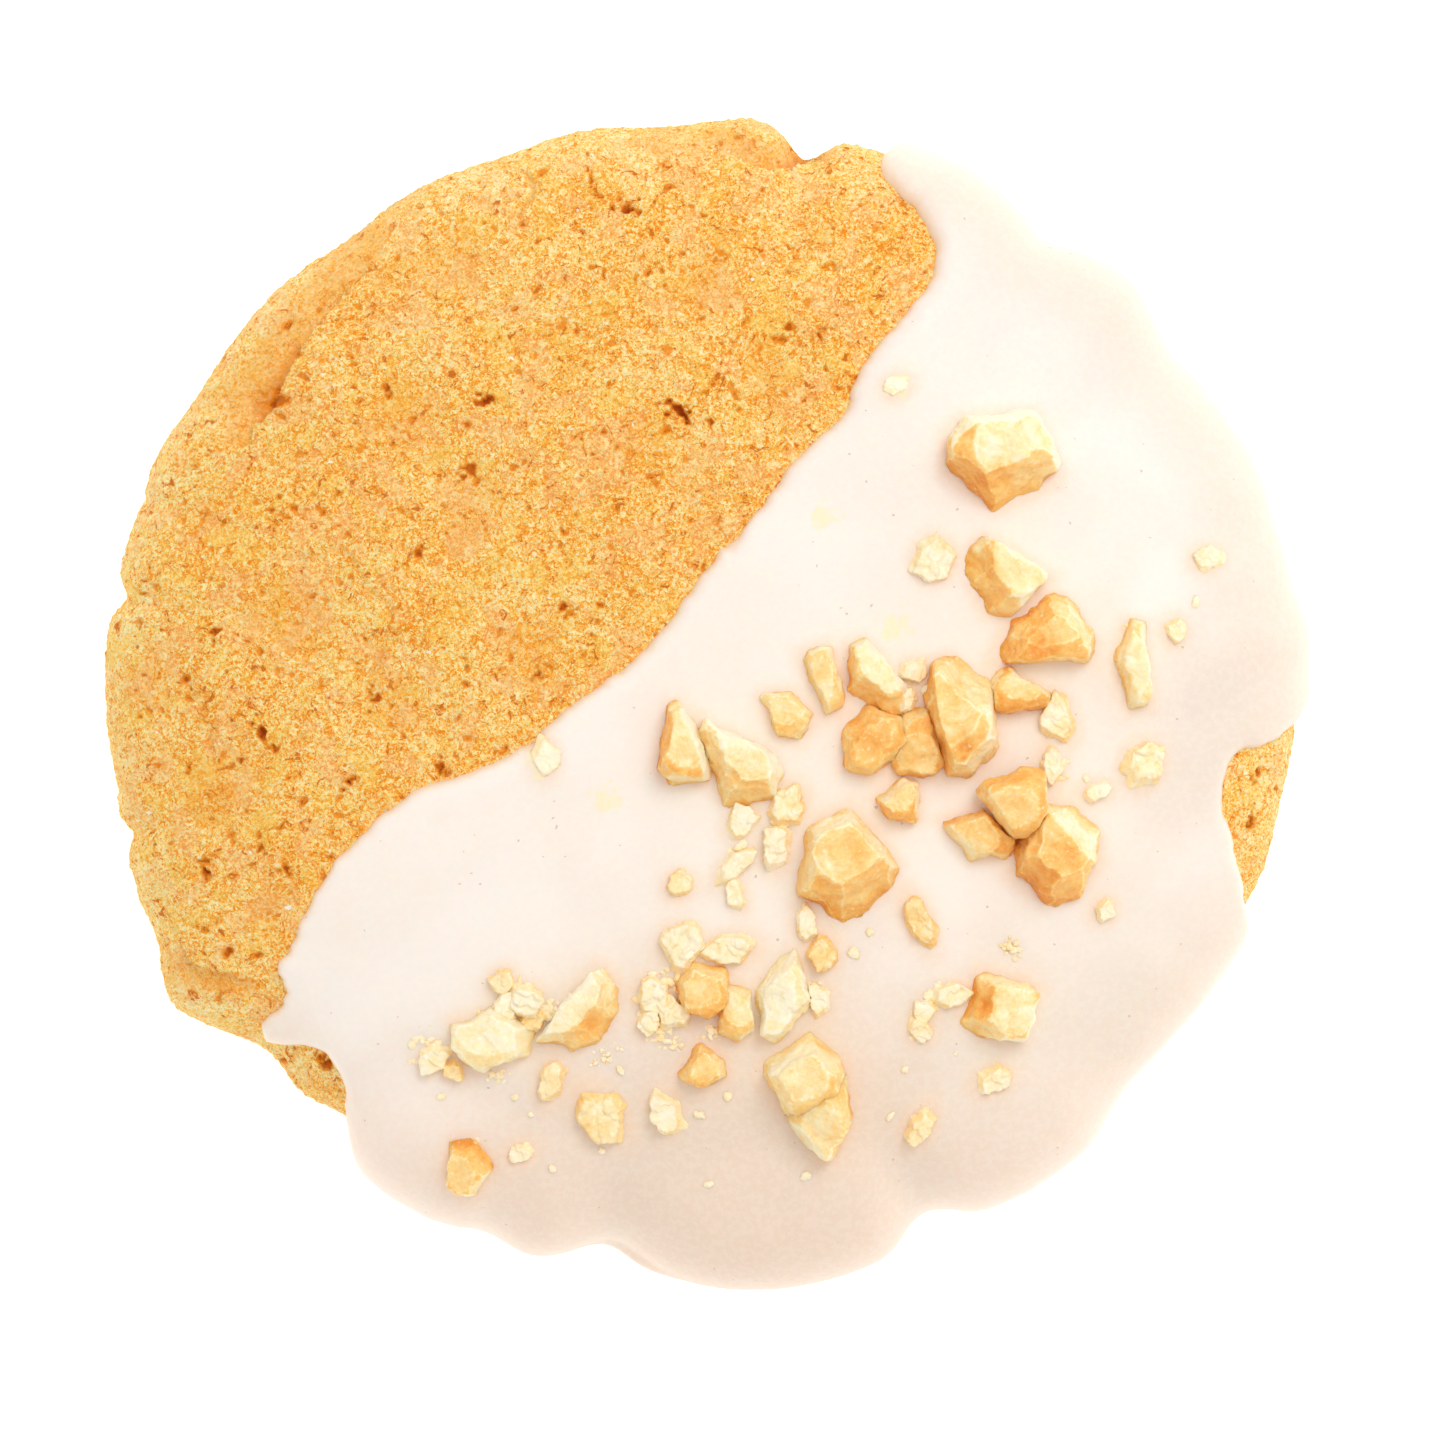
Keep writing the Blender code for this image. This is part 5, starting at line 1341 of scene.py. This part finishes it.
# %% Crumbs
# Heaps: place, half-widths, bearing of the long way, how many, smallest and largest grain, roast
HEAPS = (
    (-3.1, -20.3, 2.5, 1.9, 60, 46, 0.35, 1.1, 0.08), (-3.0, -23.1, 1.9, 0.6, -15, 16, 0.25, 0.6, 0.05),
    (-13.2, -20.6, 1.9, 1.5, 70, 34, 0.35, 1.1, 0.1), (-11.1, -21.3, 1.4, 1.0, 0, 16, 0.3, 0.8, 0.06),
    (-19.3, -24.2, 1.7, 1.3, -40, 28, 0.25, 0.8, 0.08), (-14.8, -25.5, 1.6, 0.6, -5, 16, 0.25, 0.6, 0.06),
    (15.5, -20.3, 1.8, 0.9, 50, 20, 0.3, 0.9, 0.1), (14.4, -22.0, 0.8, 1.4, 0, 12, 0.3, 0.8, 0.1),
    (29.2, 3.2, 0.9, 2.6, 5, 18, 0.3, 0.8, 0.14), (24.0, -4.3, 0.8, 1.6, 0, 12, 0.3, 0.7, 0.08),
    (2.3, -9.4, 0.7, 2.0, -30, 12, 0.25, 0.7, 0.05), (4.9, -8.3, 0.9, 1.6, 0, 12, 0.3, 0.8, 0.12),
    (-10.8, -25.7, 1.2, 0.8, 40, 12, 0.25, 0.7, 0.2), (7.3, -19.8, 0.7, 1.4, 10, 8, 0.25, 0.6, 0.1),
    (21.0, -16.6, 0.9, 1.0, 0, 8, 0.25, 0.6, 0.1), (9.0, -14.4, 1.3, 0.8, 20, 8, 0.2, 0.5, 0.04),
    (13.6, 1.2, 0.7, 1.0, 0, 7, 0.25, 0.6, 0.05), (-16.0, -22.0, 2.0, 1.0, 20, 12, 0.25, 0.7, 0.1),
    (0.4, -22.5, 1.5, 0.8, 0, 10, 0.25, 0.6, 0.08), (-7.0, -24.0, 1.6, 0.8, 30, 8, 0.2, 0.5, 0.06),
)
# Lone white crumbs: place and size
LONE_CRUMBS = (
    (1.3, -26.9, 0.7), (-0.7, -28.2, 0.8), (6.7, -32.4, 0.8), (0.0, -33.0, 0.7), (12.5, -28.3, 0.6),
    (13.5, -25.1, 0.6), (10.0, -17.0, 0.8), (11.1, -15.6, 0.7), (-10.8, -31.9, 0.7), (-7.4, -30.7, 0.5),
    (-13.4, -27.0, 0.6), (-6.1, -25.1, 0.7), (-18.5, -27.0, 0.6), (-12.3, -28.2, 0.5), (15.0, 1.1, 0.9),
    (-9.5, -20.0, 0.6), (33.6, 7.2, 0.7), (26.0, -5.0, 0.6), (17.0, -24.0, 0.4), (-16.0, -30.0, 0.5),
)
CRUMB_SEED = 23
# Half-widths of a grain as parts of half its size, and how rough it is
CRUMB_AXES = ((0.8, 1.35), (0.6, 1.0), (0.35, 0.65))
CRUMB_ROUGHNESS = 0.42
CRUMB_ROAST_SPREAD = (-0.05, 0.09)
HEAP_THICKNESS = 1.5
DUST_SIZES = (0.10, 0.34)
DUST_SHARE = 1.7


def crumb_points(directions, draw, x, y, rise, size, roast):
    """One grain: a small ball pulled out of round, sitting on the icing."""
    axes = np.array([draw.uniform(*span) for span in CRUMB_AXES]) * 0.5 * size
    seed = draw.uniform(0, 90)
    out = 1.0 + CRUMB_ROUGHNESS * bumps(directions, 0.8, seed)
    points = directions * axes * out[:, None]
    points = spun(points, math.degrees(draw.uniform(0, math.pi))) + (0.0, 0.0, rise + 0.08 * size)
    return stand_on_icing(points, x, y), np.full(len(points), roast), np.zeros(len(points))


def heap_of_crumbs(directions, draw, x, y, half_long, half_wide, heading, count, least, most, roast,
                   loose=0.6):
    """Grains in an oval, thicker towards its middle; the looser it is, the more of them lie beyond it."""
    parts = []
    for order in range(count):
        spread = draw.random() ** loose * max(1.0, 1.6 * loose)
        around = draw.uniform(0, 2 * math.pi)
        along, aside = half_long * spread * math.cos(around), half_wide * spread * math.sin(around)
        dx, dy = turned(along, aside, -heading)
        size = draw.uniform(least, most) * (1.1 - 0.5 * spread)
        rise = 0.5 * max(1 - spread, 0.0) * size * order / count
        shade = roast + draw.uniform(*CRUMB_ROAST_SPREAD)
        parts.append(crumb_points(directions, draw, x + dx, y + dy, rise, size, shade))
    return parts


directions, triangles = sphere(3)
draw = random.Random(CRUMB_SEED)
parts = []
for *oval, count, least, most, roast in HEAPS:
    parts += heap_of_crumbs(directions, draw, *oval, round(count * HEAP_THICKNESS), least, most, roast)
parts += [crumb_points(directions, draw, x, y, 0.0, size, 0.01) for x, y, size in LONE_CRUMBS]
nuts.append(mesh_object("peanut_crumbs", *joined(parts, triangles)))
print(len(parts), "crumbs,", len(nuts[-1].data.polygons), "faces")
directions, triangles = sphere(2)
parts = []
for *oval, count, _, _, roast in HEAPS:
    parts += heap_of_crumbs(directions, draw, *oval, round(count * DUST_SHARE), *DUST_SIZES, roast, 1.0)
nuts.append(mesh_object("peanut_dust", *joined(parts, triangles)))
print(len(parts), "grains of dust,", len(nuts[-1].data.polygons), "faces")

# %% [markdown]
# ## The finish of the nuts
#
# A roasted peanut is cream where it broke and golden to orange where the heat reached it, with a satin, oily
# sheen and a little light inside. The roast that the mesh holds, with the painted shade at each chunk's foot,
# in its hollows and on part of its golden side, picks the colour along a ramp, and a noise keeps it from
# being even. The ridges between faces are painted paler: partly the pale broken edges of the real pieces,
# partly a painted highlight.

# %% Peanut finish
def peanut_finish(name, paler, glow, relief):
    """The finish of a broken kernel; a thin flake is paler, and too small for light to wander in it."""
    nut = Finish(name)
    cloud = nut.noise(1.5, 3.0, 0.6, 0.8)
    grit = nut.noise(0.26, 3.0, 0.7, 0.4)
    patchy = (cloud - 0.5) * 0.8 + (grit - 0.5) * 0.5
    # Ridges painted paler: partly pale broken edges, partly a painted highlight
    roast = nut.number("toast") + patchy - nut.number("ridge") * 0.34 - paler
    tint = nut.ramp(roast, (
        (0.0, (255, 246, 220)), (0.2, (255, 236, 188)), (0.42, (255, 217, 146)), (0.68, (253, 192, 102)),
        (1.0, (238, 150, 54)),
    ))
    tint = nut.tinted(tint, (nut.noise(0.30, 0.0), 0.74, 0.82, 0.4, (255, 248, 230)))
    return nut.finish(
        base_color=tint, roughness=0.42, normal=nut.bump(grit * 0.55 + cloud * 0.5, relief, 0.7),
        subsurface_weight=glow, subsurface_scale=0.0015, subsurface_radius=(1.0, 0.6, 0.28),
        specular_ior_level=0.4,
    )


chunk_finish = peanut_finish("roasted_peanut", 0.01, 0.30, 0.10)
flake_finish = peanut_finish("peanut_flake", -0.06, 0.0, 0.05)
for piece in nuts:
    whole = piece.name in ("peanut_halves", "peanut_chunks")
    piece.data.materials.append(chunk_finish if whole else flake_finish)
    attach(piece, "root")
for piece in [icing, *nuts]:
    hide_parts("icing")
print("nut pieces", [piece.name for piece in nuts])

# %% [markdown]
# ## Floor, light and camera
#
# The photograph was taken from straight above on white, with one wide soft light from the upper right and a
# bright room round it. A large area light close by gives the slow fall of light towards the lower left, and
# the world fills the shadows with a warmer light. The floor is a light table: it glows a little, which keeps
# it white and lights the side of the cookie from below. A plain white plane would need a much stronger light,
# and the icing would burn out. The camera stands a metre off with a long lens, so that the tall nuts don't
# lean outwards, and it frames 100 mm of floor.

# %% Floor
FLOOR_GLOW = 0.55
FLOOR_HALF = 1.5
FLOOR_DROP = 0.00005


def make_floor():
    corners = [(-1, -1), (1, -1), (1, 1), (-1, 1)]
    mesh = bpy.data.meshes.new("white_floor")
    mesh.from_pydata([(x * FLOOR_HALF, y * FLOOR_HALF, -FLOOR_DROP) for x, y in corners], [], [(0, 1, 2, 3)])
    floor = add_object("white_floor", mesh)
    paper = Finish("white_paper")
    shade = paper.mix(paper.noise(60.0), paint(252, 252, 252), paint(254, 254, 254))
    mesh.materials.append(paper.finish(
        base_color=shade, roughness=0.9, specular_ior_level=0.1, emission_color=(1.0, 0.99, 0.975, 1.0),
        emission_strength=FLOOR_GLOW))
    return floor


floor = make_floor()
print("floor", floor.name)

# %% Light and camera
FRAME_WIDTH = 100.0
FRAME_CENTRE = (0.76, -0.97)
CAMERA_HEIGHT = 1.0
SILHOUETTE_HEIGHT = 5.0
SENSOR_WIDTH = 36.0
KEY_PLACE = (0.17, 0.22, 0.49)
KEY_SIZE = 0.26
KEY_POWER = 1.07
ROOM_LIGHT = 0.80


def make_key():
    light = bpy.data.lights.new("window_light", "AREA")
    light.energy, light.size = KEY_POWER, KEY_SIZE
    light.color = (1.0, 0.985, 0.965)
    key = add_object("window_light", light)
    key.location = KEY_PLACE
    key.rotation_euler = (-Vector(KEY_PLACE)).to_track_quat("-Z", "Y").to_euler()


def make_room():
    world = bpy.data.worlds.new("bright_room")
    world.use_nodes = True
    backdrop = world.node_tree.nodes["Background"]
    backdrop.inputs["Color"].default_value = (1.0, 0.965, 0.925, 1.0)
    backdrop.inputs["Strength"].default_value = ROOM_LIGHT
    bpy.context.scene.world = world


def make_camera():
    lens = bpy.data.cameras.new("overhead_camera")
    camera = add_object("overhead_camera", lens)
    camera.location = (
        (FRAME_CENTRE[0] - PLAN_MIDDLE[0]) * MM, (FRAME_CENTRE[1] - PLAN_MIDDLE[1]) * MM, CAMERA_HEIGHT)
    lens.sensor_width = SENSOR_WIDTH
    lens.lens = SENSOR_WIDTH * (CAMERA_HEIGHT / MM - SILHOUETTE_HEIGHT) / FRAME_WIDTH
    lens.clip_start, lens.clip_end = 0.05, 10.0
    bpy.context.scene.camera = camera
    return camera


make_key()
make_room()
camera = make_camera()
bpy.context.scene.view_settings.view_transform = "Standard"
print("camera lens", round(camera.data.lens), "mm")
